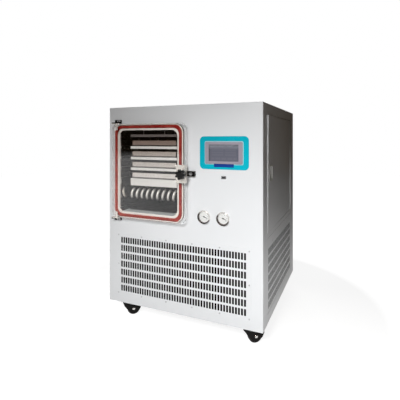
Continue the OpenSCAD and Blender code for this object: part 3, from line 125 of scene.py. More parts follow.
class Tree:
    """A node tree under construction."""

    def __init__(self, node_tree):
        self.nt = node_tree

    def node(self, kind, settings=(), values=(), out=0):
        """Adds a node: its settings first, then its sockets by name or number."""
        n = self.nt.nodes.new(kind)
        for key, value in dict(settings).items():
            if key == "stops":
                self._stops(n.color_ramp.elements, value)
            else:
                setattr(n, key, value)
        for key, value in dict(values).items():
            if isinstance(value, Sock):
                self.nt.links.new(value.socket, n.inputs[key])
            else:
                n.inputs[key].default_value = value
        return Sock(self, n.outputs[out]) if len(n.outputs) else n

    @staticmethod
    def _stops(elements, stops):
        while len(elements) < len(stops):
            elements.new(0.5)
        for e, (at, shade) in zip(elements, stops):
            e.position = at
            e.color = (shade, shade, shade, 1) if isinstance(shade, (int, float)) else shade

    def axes(self, vector):
        """The three numbers of a vector socket."""
        n = self.node("ShaderNodeSeparateXYZ", (), {0: vector}).socket.node
        return [Sock(self, n.outputs[i]) for i in range(3)]

    def vector(self, x, y, z):
        return self.node("ShaderNodeCombineXYZ", (), {0: x, 1: y, 2: z})


class Finish(Tree):
    """A material under construction, with its Principled shader's varying sockets."""

    def __init__(self, name):
        self.material = bpy.data.materials.new(name)
        self.material.use_nodes = True
        super().__init__(self.material.node_tree)
        self.nt.nodes.clear()
        self.place = self.node("ShaderNodeTexCoord", (), (), "Object")

    def spread(self, scale=(1, 1, 1)):
        """Object coordinates, stretched along each axis."""
        return self.node("ShaderNodeVectorMath", {"operation": "MULTIPLY"},
                         {0: self.place, 1: scale})

    def noise(self, size, detail=3.0, stretch=(1, 1, 1), rough=0.5):
        """Noise whose grains are about size metres."""
        return self.node("ShaderNodeTexNoise", (), {
            "Vector": self.spread(stretch), "Scale": 1 / size,
            "Detail": detail, "Roughness": rough})

    def ramp(self, value, *stops):
        """A value or colour that runs between (place, shade) stops."""
        return self.node("ShaderNodeValToRGB", {"stops": stops}, {0: value})

    def mix(self, mask, a, b):
        """Colour a where mask is 0 and b where it is 1."""
        return self.node("ShaderNodeMix", {"data_type": "RGBA"}, {0: mask, 6: a, 7: b}, 2)

    def bump(self, height, depth):
        """A normal for height, 0 to 1, that stands depth metres proud at 1."""
        return self.node("ShaderNodeBump", (), {
            "Height": height, "Distance": depth, "Strength": 1.0})

    def shader(self, **values):
        """The Principled shader; a keyword's underscores stand for spaces."""
        return self.node("ShaderNodeBsdfPrincipled", (), {
            k.replace("_", " "): v for k, v in values.items()})

    def done(self, shader):
        self.node("ShaderNodeOutputMaterial", (), {"Surface": shader})
        return self.material


def rgb(r, g, b):
    """A colour given as 0-255 screen values."""
    def line(v):
        v /= 255
        return v / 12.92 if v <= 0.04045 else ((v + 0.055) / 1.055) ** 2.4
    return (line(r), line(g), line(b), 1)


def toned(colour, share):
    """A colour with a share of its light."""
    return tuple(c * share for c in colour[:3]) + (1,)


def drawn_out(along):
    """The stretch of brush lines along an axis."""
    return [0.012 if axis == along else 1.0 for axis in "XYZ"]


# ---- Colours and measures ----

WHITE = (1, 1, 1, 1)
WARM = (1, 0.66, 0.34, 1)
PAINT = rgb(232, 234, 236)
NICKEL = rgb(214, 212, 208)
BLACK = rgb(9, 6, 5)
SHADED_STEEL = rgb(70, 66, 62)
# the chamber's steel, darkened as painted shade inside it
CHAMBER_SHADE_STEEL = rgb(74, 68, 63)
# near-black painted shade for the cut walls of slots
SLOT_WALL_SHADE = (0.01, 0.01, 0.01, 1)
# dark painted shade along the edges of the grille's slots
SLOT_EDGE_SHADE = (0.02, 0.02, 0.02, 1)
# painted shadow at the foot of each tray
FOOT_SHADOW = (0.02, 0.018, 0.016, 1)
SCREEN_GLOW = rgb(94, 95, 108)
SCREEN_RIM_SHADE = rgb(82, 84, 92)
SCREEN_KEY = rgb(168, 172, 180)
DIAL_WHITE = rgb(240, 240, 238)
DIAL_GREY = rgb(200, 200, 200)

PEEL_GRAIN, PEEL_DEPTH = 0.0028, 0.00012  # orange peel of sprayed paint
CHAMBER_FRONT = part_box("chamber")[0].y
CHAMBER_FLOOR = 0.608
SHELF_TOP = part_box("trays")[0].z
SHELF_PITCH = 0.061
SHADE_FROM, SHADE_OVER = 0.76, 0.28  # heights over which the shelves' light falls off
GRILLE_SLOTS = {"pitch_x": 0.0153, "pitch_z": 0.045, "first_z": 0.1725,
                "slot": (0.0085, 0.035), "columns": 48, "rows": 7}
GAUGE_X, GAUGE_Z, GAUGE_PITCH = 0.144, 0.616, 0.103
# the coil's painted light runs from the front place to the one behind
COIL_FRONT, COIL_BEHIND = -0.366, -0.344
STUD_PITCH = 0.0015


# ---- Finishes ----

def sprayed(name, colour, rough, grime=0.06, coat=0.0, shine=0.5, skin=None):
    """Satin sprayed paint: a fine orange peel, cloudy gloss and a little grime low down.

    Behind the skin, an X place, the cut walls of slots are painted near black as shade, and dull.
    """
    f = Finish(name)
    cloud = f.noise(0.09, 4)
    x, y, z = f.axes(f.place)
    shade = colour
    if grime:
        low = f.ramp(z + f.noise(0.05, 3) * 0.05, (0.09, 1.0), (0.2, 0.0))
        shade = f.mix(low * grime * 2 + cloud * grime, colour, toned(colour, 0.72))
    if skin is not None:
        # painted shade: the slots' cut walls are made near black and lose their coat
        walls = x < skin - 0.0002
        shade = f.mix(walls, shade, SLOT_WALL_SHADE)
        coat = coat - walls * coat
    return f.done(f.shader(
        Base_Color=shade, Roughness=rough - 0.05 + cloud * 0.1, Coat_Weight=coat,
        Coat_Roughness=0.08, Specular_IOR_Level=shine,
        Normal=f.bump(f.noise(PEEL_GRAIN, 2), PEEL_DEPTH)))


def brushed(name, colour, along, rough, depth=0.00002, metallic=1.0):
    """Metal brushed along one axis."""
    f = Finish(name)
    lines = f.noise(0.0004, 2, drawn_out(along), 0.6)
    cloud = f.noise(0.06, 4)
    return f.done(f.shader(
        Base_Color=f.mix(lines * 0.6 + cloud * 0.3, colour, toned(colour, 0.8)),
        Roughness=rough - 0.08 + lines * 0.16 + cloud * 0.08,
        Metallic=metallic, Normal=f.bump(lines, depth)))


def shelved(name, stops, along, rough, metallic, foot_shade=0.0):
    """Brushed sheet with painted light that changes with height; the last argument paints a shadow
    line at each tray's foot.
    """
    f = Finish(name)
    x, y, z = f.axes(f.place)
    lines = f.noise(0.0006, 2, drawn_out(along), 0.6)
    # painted light: the stops' shades run with height
    shade = f.ramp((z - SHADE_FROM) / SHADE_OVER, *stops)
    # painted shadow: a dark line at each tray's foot
    foot = ((z - SHELF_TOP) / SHELF_PITCH + 0.02) % 1.0
    mask = lines * 0.25 + (foot < foot_shade) * 0.75
    return f.done(f.shader(
        Base_Color=f.mix(mask, shade, FOOT_SHADOW), Metallic=metallic,
        Roughness=rough - 0.05 + lines * 0.12, Normal=f.bump(lines, 0.00001)))


def lipped(name, colour, lip, deep, rough):
    """Chamber steel whose first strip inside the door, deep metres, is bright and matt."""
    f = Finish(name)
    x, y, z = f.axes(f.place)
    inner = f.ramp((y - CHAMBER_FRONT) / deep, (0.75, 0.0), (1.0, 1.0))
    cloud = f.noise(0.02, 4, (1, 0.02, 1))
    return f.done(f.shader(
        Base_Color=f.mix(inner, lip, colour), Metallic=inner,
        Roughness=rough + 0.4 - inner * 0.4 + cloud * 0.08,
        Normal=f.bump(cloud, 0.00001)))


def slotted(name, colour, pitch_x, pitch_z, first_z, slot, columns, rows):
    """Sprayed sheet with painted shade along the edges of its punched slots."""
    f = Finish(name)
    x, y, z = f.axes(f.place)
    across = abs((x / pitch_x) % 1.0 - 0.5) * pitch_x
    along = abs(((z - first_z) / pitch_z + 0.5) % 1.0 - 0.5) * pitch_z
    # painted shade along each slot's edge, inside the slot field only
    edge = f.ramp((across - slot[0] / 2) * 500, (0.3, 1.0), (0.75, 0.0))
    edge = edge * (along < slot[1] / 2 - 0.001) * (abs(x) < columns * pitch_x / 2)
    edge = edge * (z > first_z - pitch_z / 2) * (z < first_z + (rows - 0.5) * pitch_z)
    cloud = f.noise(0.09, 4)
    shade = f.mix(cloud * 0.06, colour, toned(colour, 0.72))
    return f.done(f.shader(
        Base_Color=f.mix(edge * 0.9, shade, SLOT_EDGE_SHADE), Roughness=0.3 + cloud * 0.1,
        Coat_Weight=0.25, Coat_Roughness=0.08,
        Normal=f.bump(f.noise(PEEL_GRAIN, 2), PEEL_DEPTH)))


def polished(name, colour, rough):
    """Plated or polished metal with faint smears."""
    f = Finish(name)
    smear = f.noise(0.012, 5)
    return f.done(f.shader(
        Base_Color=colour, Metallic=1.0, Roughness=rough - 0.04 + smear * 0.12,
        Normal=f.bump(f.noise(0.004, 2), 0.00001)))


def threaded(name, colour, pitch):
    """Turned steel with thread rings across Y, painted darker in their grooves as shade."""
    f = Finish(name)
    x, y, z = f.axes(f.place)
    # painted shade in the thread's grooves
    rings = abs((y * (math.pi / pitch)).sin())
    return f.done(f.shader(
        Base_Color=f.mix(rings, toned(colour, 0.5), colour),
        Metallic=1.0, Roughness=0.3, Normal=f.bump(rings, 0.0004)))


def moulded(name, colour, rough=0.45, grain=0.0009, depth=0.00004, shine=0.5):
    """Moulded plastic with a fine spark-eroded grain."""
    f = Finish(name)
    cloud = f.noise(0.03, 4)
    light = tuple(min(1, c * 1.5 + 0.006) for c in colour[:3]) + (1,)
    return f.done(f.shader(
        Base_Color=f.mix(cloud * 0.3, colour, light), Roughness=rough - 0.06 + cloud * 0.14,
        Specular_IOR_Level=shine, Normal=f.bump(f.noise(grain, 2), depth)))


def rubbery(name, colour, dusty, rough, shine=0.5, low_left_light=0.0):
    """Rubber or silicone dusted with its pale colour; the last argument adds more of that colour
    towards the lower left as painted light.
    """
    f = Finish(name)
    dust_and_light = f.ramp(f.noise(0.02, 5), (0.42, 0.0), (0.7, 1.0))
    if low_left_light:
        x, y, z = f.axes(f.place)
        # painted light: paler towards the lower left
        dust_and_light = dust_and_light + f.ramp((0.9 - z) * 1.2 - x * 0.9, (0.1, 0.0), (0.7, 1.0)) * low_left_light
    return f.done(f.shader(
        Base_Color=f.mix((dust_and_light * 0.35).least(1.0), colour, dusty),
        Roughness=(rough + dust_and_light * 0.15).least(0.9), Specular_IOR_Level=shine,
        Normal=f.bump(f.noise(0.0015, 3), 0.00008)))


def clear_sheet(name, least=0.012):
    """Clear plastic or glass: only what it mirrors shows, most at a slant, and faint scuffs."""
    f = Finish(name)
    scuff = f.ramp(f.noise(0.05, 6), (0.5, 0.0), (0.85, 0.02))
    mirror = f.node("ShaderNodeFresnel", (), {"IOR": 1.49})
    return f.done(f.shader(
        Base_Color=WHITE, Metallic=1.0, Roughness=scuff + 0.03,
        Alpha=(mirror * 0.5 + scuff * 0.5 + least).least(1.0)))


def cut_edge(name, colour, solid):
    """The flame-polished edge of a clear sheet, painted pale for the light it gathers."""
    f = Finish(name)
    cloud = f.noise(0.02, 4)
    return f.done(f.shader(
        Base_Color=colour, Roughness=0.12 + cloud * 0.1, Alpha=solid + cloud * 0.1,
        Normal=f.bump(f.noise(0.004, 2), 0.00002)))


def lit_pipe(name, front, back):
    """Pipe painted pale on the side towards the door as light, and dark behind as shade."""
    f = Finish(name)
    x, y, z = f.axes(f.place)
    # painted light in front, painted shade behind
    depth = (y - COIL_FRONT) / (COIL_BEHIND - COIL_FRONT)
    depth = (depth + f.noise(0.006, 5) * 0.4 - 0.2).most(0.0).least(1.0)
    return f.done(f.shader(
        Base_Color=f.mix(depth, front, back), Metallic=0.4 + depth * 0.6,
        Roughness=0.4 - depth * 0.15, Normal=f.bump(f.noise(0.003, 4), 0.00006)))


def open_foam(name, colour):
    """Open-cell filter foam."""
    f = Finish(name)
    cells = f.node("ShaderNodeTexVoronoi", (), {"Vector": f.place, "Scale": 420.0})
    return f.done(f.shader(
        Base_Color=f.mix(cells, toned(colour, 0.4), colour),
        Roughness=0.95, Specular_IOR_Level=0.05, Normal=f.bump(cells, 0.001)))


def printed_film(name, colour):
    """Gloss printed polyester film, with painted shade that darkens it towards its upper left."""
    f = Finish(name)
    x, y, z = f.axes(f.place)
    # painted shade: darker towards the upper left
    cloud = f.noise(0.05, 3) * 0.4 + f.ramp(z * 1.6 - x * 1.2 - 0.7, (0.3, 0.0), (0.75, 0.8))
    return f.done(f.shader(
        Base_Color=f.mix(cloud, colour, toned(colour, 0.8)), Roughness=0.22 + cloud * 0.08,
        Specular_IOR_Level=0.2, Normal=f.bump(f.noise(0.012, 2), 0.00004)))


def idle_screen(name, lo, hi):
    """A switched-on screen's dim page: a header, two columns of fields and a row of keys, with a
    painted shadow along its left and top edges.
    """
    f = Finish(name)
    x, y, z = f.axes(f.place)
    u = (x - lo.x) / (hi.x - lo.x)
    v = (z - lo.z) / (hi.z - lo.z)

    def patch(u0, v0, u1, v1):
        return (u > u0) * (u < u1) * (v > v0) * (v < v1)

    # painted shadow along the screen's left and top edges
    rim = 1 - patch(0.05, 0.0, 1.0, 0.93)
    haze = f.noise(0.012, 4, (0.5, 1, 1.6))
    header = f.ramp(v, (0.7, 0.0), (0.86, 1.0)) * haze
    fields = patch(0.1, 0.3, 0.92, 0.72) * ((u * 2.0 % 1.0) > 0.12) * ((v * 7.0 % 1.0) > 0.35)
    keys = patch(0.1, 0.1, 0.94, 0.22) * ((u * 5.0 % 1.0) > 0.16)
    base = f.mix(rim, SCREEN_GLOW, SCREEN_RIM_SHADE)
    page = f.mix(header * 0.55 + fields * 0.05 + keys * 0.05, base, SCREEN_KEY)
    return f.done(f.shader(
        Base_Color=page, Roughness=0.12 + f.noise(0.03, 3) * 0.05, IOR=1.5,
        Emission_Color=page, Emission_Strength=0.12))


def ringed(name, bright, dark):
    """Plated gauge rings with a painted reflection: dark on the side towards the floor and the
    door, bright on the other.
    """
    f = Finish(name)
    x, y, z = f.axes(f.place)
    u = (x - GAUGE_X + GAUGE_PITCH / 2) % GAUGE_PITCH - GAUGE_PITCH / 2
    # painted reflection: bright towards the top right, dark towards the lower left
    lit = f.ramp((u * 0.6 + (z - GAUGE_Z)) / 0.05 + 0.5, (0.42, 0.0), (0.8, 1.0))
    return f.done(f.shader(
        Base_Color=f.mix(lit, dark, bright), Metallic=0.9,
        Roughness=0.16 + f.noise(0.01, 4) * 0.08))


def dial_face(name):
    """Matt white dial paint."""
    f = Finish(name)
    return f.done(f.shader(Base_Color=f.mix(f.noise(0.01, 3) * 0.1, DIAL_WHITE, DIAL_GREY),
                           Roughness=0.5))


# Each finish by its key
F = {
    "cabinet": sprayed("cabinet_paint", PAINT, 0.3, coat=0.25),
    "vent": sprayed("vent_paint", PAINT, 0.3, coat=0.25, skin=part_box("vent_panel")[1].x),
    "dark": sprayed("pan_paint", rgb(70, 70, 72), 0.5),
    "black": sprayed("hardware_black", BLACK, 0.42, grime=0.02, shine=0.15),
    "foam": open_foam("filter_foam", rgb(14, 14, 14)),
    "zinc": polished("zinc_plate", rgb(200, 200, 202), 0.28),
    "chamber": brushed("chamber_steel", CHAMBER_SHADE_STEEL, "Y", 0.2, depth=0.000006),
    "wall": lipped("wall_steel", rgb(236, 232, 226), rgb(235, 230, 222), 0.012, 0.03),
    # painted light: the chamber floor's first strip inside the door is bright and matt
    "lip": lipped("lip_steel", CHAMBER_SHADE_STEEL, rgb(196, 200, 200), 0.075, 0.2),
    # Painted light on the shelves and trays: pale low down, darker higher up; the trays also get a
    # painted shadow line at their feet.
    "shelf": shelved("shelf_steel", ((0.8, rgb(255, 253, 248)), (0.93, rgb(120, 112, 108))), "X",
                     0.3, 0.1),
    "tray": shelved("tray_steel", ((0.0, rgb(255, 250, 244)), (0.35, rgb(236, 228, 220)),
                                   (0.6, rgb(216, 204, 194)), (0.82, rgb(178, 156, 144))), "X",
                    0.24, 0.7, 0.14),
    "grille": slotted("grille_paint", PAINT, **GRILLE_SLOTS),
    # painted shade for the side opening's rear edge, pale low down and dark higher up
    "jamb_shade": shelved("jamb_paint", ((0.2, PAINT), (0.85, SHADED_STEEL)), "Z", 0.4, 0.0),
    # dark steel that paints shade: the rack, the side faces of plates and trays, and the side
    # opening's upper edge
    "rack": brushed("rack_steel", SHADED_STEEL, "Z", 0.25),
    "flange": brushed("flange_steel", rgb(255, 251, 242), "Z", 0.35, metallic=0.1),
    # painted highlight: near-white, half metallic steel
    "angle": brushed("angle_steel", rgb(250, 244, 236), "Z", 0.22, metallic=0.5),
    "nickel": polished("nickel_plate", NICKEL, 0.12),
    "ring": ringed("gauge_ring", rgb(236, 232, 228), rgb(70, 60, 56)),
    "outline": printed_film("overlay_outline", rgb(196, 232, 238)),
    "pull": sprayed("pull_paint", rgb(225, 225, 222), 0.3),
    "coil": lit_pipe("coil_pipe", rgb(250, 246, 240), rgb(46, 42, 40)),
    "wrap": moulded("insulation_foam", rgb(190, 178, 140), 0.9, 0.004, 0.0006),
    "pane": clear_sheet("clear_acrylic"),
    "pane_edge": cut_edge("acrylic_edge", rgb(244, 246, 244), 0.5),
    "lens": clear_sheet("gauge_glass", 0.004),
    "seal": rubbery("red_silicone", rgb(138, 20, 10), rgb(196, 92, 78), 0.42, 0.3, 1.6),
    "tyre": rubbery("wheel_rubber", rgb(30, 25, 24), rgb(84, 70, 64), 0.55, 0.25),
    "grip": moulded("knob_plastic", rgb(12, 11, 11), 0.38, shine=0.3),
    "plastic": moulded("black_plastic", rgb(18, 18, 19), 0.45, shine=0.3),
    "bezel": moulded("panel_frame", rgb(150, 144, 156), 0.4),
    "port": moulded("port_plastic", rgb(96, 96, 98), 0.45),
    "film": printed_film("overlay_film", rgb(0, 190, 212)),
    "strip": printed_film("key_strip", rgb(22, 66, 150)),
    "screen": idle_screen("screen_page", *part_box("display_glass")),
    "dial": dial_face("dial_paint"),
    "ink": sprayed("pointer_black", rgb(20, 20, 22), 0.5, grime=0.0),
    "stud": threaded("stud_thread", rgb(190, 190, 190), STUD_PITCH),
    "fins": brushed("fin_metal", rgb(196, 198, 202), "Z", 0.35),
    "enamel": sprayed("heater_paint", rgb(92, 108, 128), 0.4),
    "brass": polished("valve_brass", rgb(196, 160, 92), 0.3),
    "vinyl": rubbery("lever_vinyl", rgb(168, 24, 18), rgb(190, 80, 70), 0.4),
}


# ---- Making pieces ----

def keep(obj, finish, body, slot, *replaced):
    """Gives a finished mesh its finish and body, and hides the CAD nodes that it stands for; slot
    is not used.
    """
    if finish:
        obj.data.materials.clear()
        obj.data.materials.append(F[finish])
    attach(obj, body)
    if replaced:
        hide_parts(*replaced)
    return obj


def made(name, bm):
    """A new object from a bmesh, which it uses up."""
    data = bpy.data.meshes.new(name)
    bm.to_mesh(data)
    bm.free()
    obj = bpy.data.objects.new(name, data)
    bpy.context.scene.collection.objects.link(obj)
    return obj


def baked(obj):
    """Replaces an object's mesh with its evaluated mesh and drops its modifiers."""
    deps = bpy.context.evaluated_depsgraph_get()
    mesh = bpy.data.meshes.new_from_object(obj.evaluated_get(deps), depsgraph=deps)
    obj.modifiers.clear()
    old, obj.data = obj.data, mesh
    mesh.name = obj.name
    bpy.data.meshes.remove(old)
    return obj


def smooth(obj, angle=35.0):
    """Smooth shading, broken at edges sharper than angle degrees."""
    for p in obj.data.polygons:
        p.use_smooth = True
    obj.data.set_sharp_from_angle(angle=math.radians(angle))
    return obj


def eased(obj, width, segments=2, angle=30.0):
    """Rounds the sharp edges of a mesh and evens the shading of its flats."""
    b = obj.modifiers.new("ease", "BEVEL")
    b.width, b.segments = width, segments
    b.limit_method, b.angle_limit = "ANGLE", math.radians(angle)
    b.use_clamp_overlap = True
    smooth(obj, 60)
    w = obj.modifiers.new("even", "WEIGHTED_NORMAL")
    w.keep_sharp = True
    return baked(obj)


def merged_copy(node, name):
    """A copy of a CAD node's mesh with its triangles merged into whole faces."""
    bm = bmesh.new()
    bm.from_mesh(NODES[node].data)
    bmesh.ops.remove_doubles(bm, verts=bm.verts, dist=2e-6)
    bmesh.ops.dissolve_limit(bm, angle_limit=math.radians(0.3), verts=bm.verts, edges=bm.edges)
    return made(name, bm)


def dressed(node, finish, width, segments=2, angle=30.0):
    """A CAD node with rounded edges and its finish, in the node's place."""
    obj = eased(merged_copy(node, node + "_dressed"), width, segments, angle)
    return keep(obj, finish, NODE_BODY[node], NODE_SLOT[node], node)


def painted(node, finish):
    """A CAD node that stays, with its finish."""
    for s in NODES[node].material_slots:
        s.material = F[finish]


def one_point():
    """A mesh of one point, for a rule that draws its own shape."""
    bm = bmesh.new()
    bm.verts.new((0, 0, 0))
    return bm


# ---- Geometry Nodes ----

COIL_STEPS, COIL_ENDS = 24, 8  # points in a turn, and in each straight end
MARK_THICK = 0.0002


class Rule(Tree):
    """A Geometry Nodes tree whose named inputs are numbers."""

    def __init__(self, name, sizes):
        super().__init__(bpy.data.node_groups.new(name, "GeometryNodeTree"))
        self.ids = {}
        self.nt.interface.new_socket("Geometry", in_out="INPUT", socket_type="NodeSocketGeometry")
        for label, value in sizes.items():
            kind = "NodeSocketInt" if isinstance(value, int) else "NodeSocketFloat"
            s = self.nt.interface.new_socket(label, in_out="INPUT", socket_type=kind)
            s.default_value = value
            self.ids[label] = s.identifier
        self.nt.interface.new_socket("Geometry", in_out="OUTPUT", socket_type="NodeSocketGeometry")
        self.source = self.nt.nodes.new("NodeGroupInput")

    def size(self, label):
        return Sock(self, self.source.outputs[label])

    def end(self, geometry, finish):
        real = self.node("GeometryNodeRealizeInstances", (), {0: geometry})
        coated = self.node("GeometryNodeSetMaterial", (), {0: real, "Material": F[finish]})
        self.node("NodeGroupOutput", (), {0: coated})

    def run(self, name, seed_mesh, values):
        """Runs the rule on a mesh and returns the plain result."""
        obj = made(name, seed_mesh)
        mod = obj.modifiers.new("rule", "NODES")
        mod.node_group = self.nt
        for label, value in values.items():
            mod[self.ids[label]] = value
        return baked(obj)


def coil_rule():
    """A pipe coil with straight ends that run back from its first and last turn."""
    rule = Rule("coil_rule", {
        "Turns": 9.0, "Pitch": 0.034, "Coil Radius": 0.034, "Pipe Radius": 0.007, "Run": 0.39,
        "Start X": 0.0, "Axis Y": 0.0, "Axis Z": 0.0, "Points": 100})
    i = rule.node("GeometryNodeInputIndex")
    last = rule.size("Turns") * COIL_STEPS
    k = (i - COIL_ENDS).most(0.0).least(last)
    back = (COIL_ENDS - i).most(0.0) + (i - last - COIL_ENDS).most(0.0)
    back = back * (1 / COIL_ENDS) * rule.size("Run")
    turn = k * (2 * math.pi / COIL_STEPS)
    place = rule.vector(rule.size("Start X") + k * rule.size("Pitch") / COIL_STEPS,
                        rule.size("Axis Y") - turn.sin() * rule.size("Coil Radius") + back,
                        rule.size("Axis Z") - turn.cos() * rule.size("Coil Radius"))
    line = rule.node("GeometryNodeMeshLine", (), {"Count": rule.size("Points")})
    path = rule.node("GeometryNodeSetPosition", (), {"Geometry": line, "Position": place})
    curve = rule.node("GeometryNodeMeshToCurve", (), {0: path})
    ring = rule.node("GeometryNodeCurvePrimitiveCircle", (), {
        "Resolution": 14, "Radius": rule.size("Pipe Radius")})
    rule.end(rule.node("GeometryNodeCurveToMesh", (), {
        "Curve": curve, "Profile Curve": ring, "Fill Caps": True}), "coil")
    return rule


def tick_rule():
    """Scale marks round a dial, from a start angle over a sweep."""
    rule = Rule("tick_rule", {
        "Count": 26, "Radius": 0.024, "Length": 0.003, "Width": 0.0004, "Start": -2.356,
        "Sweep": 4.712})
    i = rule.node("GeometryNodeInputIndex")
    a = rule.size("Start") + i * rule.size("Sweep") / (rule.size("Count") - 1)
    place = rule.vector(a.sin() * rule.size("Radius"), 0.0, a.cos() * rule.size("Radius"))
    line = rule.node("GeometryNodeMeshLine", (), {"Count": rule.size("Count")})
    points = rule.node("GeometryNodeSetPosition", (), {"Geometry": line, "Position": place})
    mark = rule.node("GeometryNodeMeshCube", (), {
        "Size": rule.vector(rule.size("Width"), MARK_THICK, rule.size("Length"))})
    turned_by = rule.node("FunctionNodeEulerToRotation", (), {0: rule.vector(0.0, a, 0.0)})
    rule.end(rule.node("GeometryNodeInstanceOnPoints", (), {
        "Points": points, "Instance": mark, "Rotation": turned_by}), "ink")
    return rule


# ---- Cabinet ----

DOOR_PROUD = 0.0045  # how far the side door's free edge is set out at its foot
DOOR_LEAN = 0.003  # and how much more at its top
SHEET_EDGE = 0.006  # depth of a sheet's cut edge with its bend


def by_face(obj, finish, test):
    """Gives the faces that pass test(centre, normal) another finish."""
    obj.data.materials.append(F[finish])
    k = len(obj.data.materials) - 1
    for p in obj.data.polygons:
        if test(p.center, p.normal):
            p.material_index = k
    return obj


def proud_side_door():
    """The side door's free edge stands over the side, most at its top, and catches the light."""
    lo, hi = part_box("side_door")
    for node, finish, width, steps in (("side_door", "cabinet", 0.0022, 4),
                                       ("side_door_pull", "pull", 0.0008, 3)):
        for v in dressed(node, finish, width, steps).data.vertices:
            up = (v.co.z - lo.z) / (hi.z - lo.z)
            v.co.x += (DOOR_PROUD + DOOR_LEAN * up) * (hi.y - v.co.y) / (hi.y - lo.y)


def cabinet():
    """The sheet-metal body; the side opening's upper edge, and its rear edge high up, are painted
    in shade.
    """
    for node in ("front_panel", "left_side", "top_cover"):
        dressed(node, "cabinet", 0.0008, 2)
    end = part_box("side_door")[1]
    frame_mesh = dressed("right_side_frame", "cabinet", 0.0008, 2)
    # painted shade: the opening's rear edge darkens higher up
    by_face(frame_mesh, "jamb_shade", lambda c, n: n.y < -0.2 and abs(c.y - end.y) < SHEET_EDGE)
    # painted shade on the side opening's upper edge
    by_face(frame_mesh, "rack", lambda c, n: n.z < -0.2 and abs(c.z - end.z) < SHEET_EDGE)
    painted("grille_sheet", "grille")
    painted("vent_panel", "vent")
    painted("rear_panel", "cabinet")
    dressed("base_pan", "dark", 0.0008, 1)
    proud_side_door()
    painted("dust_filter", "foam")
    painted("insulation", "wrap")


def screws():
    """The pan-head screws of the sheets, one node."""
    dressed("fasteners", "zinc", 0.0004, 2, 35)


# ---- Chamber ----

RACK_DEEP = 0.03  # depth of the rack's front edges, painted bright as light
COIL_PIPE, COIL_RADIUS, COIL_PITCH = 0.0065, 0.028, 0.034


def chamber():
    """The vessel with its shelves, trays and rack, painted brightest where they face the door, as
    light.
    """
    lo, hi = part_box("chamber")
    body = dressed("chamber", "chamber", 0.0012, 2)
    by_face(body, "flange", lambda c, n: c.y < lo.y + 0.0005)
    by_face(body, "wall", lambda c, n: abs(n.x) > 0.9 and lo.x + 0.01 < c.x < hi.x - 0.01)
    # painted light on the chamber floor's strip at the door
    by_face(body, "lip", lambda c, n: n.z > 0.9 and abs(c.z - CHAMBER_FLOOR) < 0.004)
    plates = dressed("shelf_plates", "shelf", 0.001, 2)
    # painted shade on the side faces of the plates, and below of the trays
    by_face(plates, "rack", lambda c, n: abs(n.x) > 0.7)
    rack = dressed("shelf_rack", "rack", 0.0008, 2)
    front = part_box("shelf_plates")[0].y
    # painted highlight: the rack's front edges take the bright shelf finish
    by_face(rack, "shelf", lambda c, n: c.y < front + RACK_DEEP)
    by_face(dressed("trays", "tray", 0.0006, 2), "rack", lambda c, n: abs(n.x) > 0.7)
    coil()


def coil():
    """The ice condenser's pipe, rounder than its solid."""
    lo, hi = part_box("condenser_coil")
    turns = round(((hi.x - lo.x) - 2 * COIL_PIPE) / COIL_PITCH * 2) / 2
    inset = COIL_PIPE + COIL_RADIUS
    obj = coil_rule().run("ice_coil", one_point(), {
        "Turns": float(turns), "Pitch": COIL_PITCH, "Coil Radius": COIL_RADIUS,
        "Pipe Radius": COIL_PIPE, "Run": hi.y - (lo.y + inset), "Start X": lo.x + COIL_PIPE,
        "Axis Y": lo.y + inset, "Axis Z": lo.z + inset,
        "Points": int(turns * COIL_STEPS) + 2 * COIL_ENDS + 1})
    bm = bmesh.new()
    bm.from_mesh(obj.data)
    bmesh.ops.remove_doubles(bm, verts=bm.verts, dist=1e-6)
    bmesh.ops.recalc_face_normals(bm, faces=bm.faces)
    bm.to_mesh(obj.data)
    bm.free()
    keep(smooth(obj, 50), "coil", NODE_BODY["condenser_coil"], "stainless", "condenser_coil")


# ---- Door and latch ----

def door():
    """The clear door with its seal, hinges and star-knob latch."""
    pane = dressed("door_pane", "pane", 0.0018, 3)
    by_face(pane, "pane_edge", lambda c, n: abs(n.y) < 0.95)
    dressed("door_seal", "seal", 0.0022, 3)
    dressed("latch_angle", "angle", 0.0008, 2)
    dressed("hinge_arms", "angle", 0.0008, 2)
    dressed("hinge_brackets", "black", 0.001, 2)
    dressed("latch_keeper", "black", 0.0015, 3)
    dressed("latch_sleeve", "nickel", 0.0008, 2)
    dressed("latch_stud", "stud", 0.0005, 1)
    dressed("star_knob", "grip", 0.0022, 4)


# ---- Controls ----

# Measures from the overlay's middle or foot, and from the touch panel's edges
OUTLINE_OUT, OUTLINE_ROUND = 0.004, 0.008  # pale line round the touch panel
STRIP_LEFT, STRIP_RIGHT, STRIP_LOW, STRIP_TOP = 0.052, 0.053, 0.0115, 0.0305
STRIP_ROUND = 0.003
PRINT_PROUD = 0.0001
DIAL_MARKS = (  # marks, how many, their middle's radius, length and width
    ("fine", 51, 0.0235, 0.0016, 0.0002),
    ("main", 11, 0.0228, 0.003, 0.0005))
DIAL_NUMBERS, NUMBER_RADIUS, NUMBER_SIZE = 6, 0.0172, 0.0052
DIAL_START, DIAL_SWEEP = -135, 270


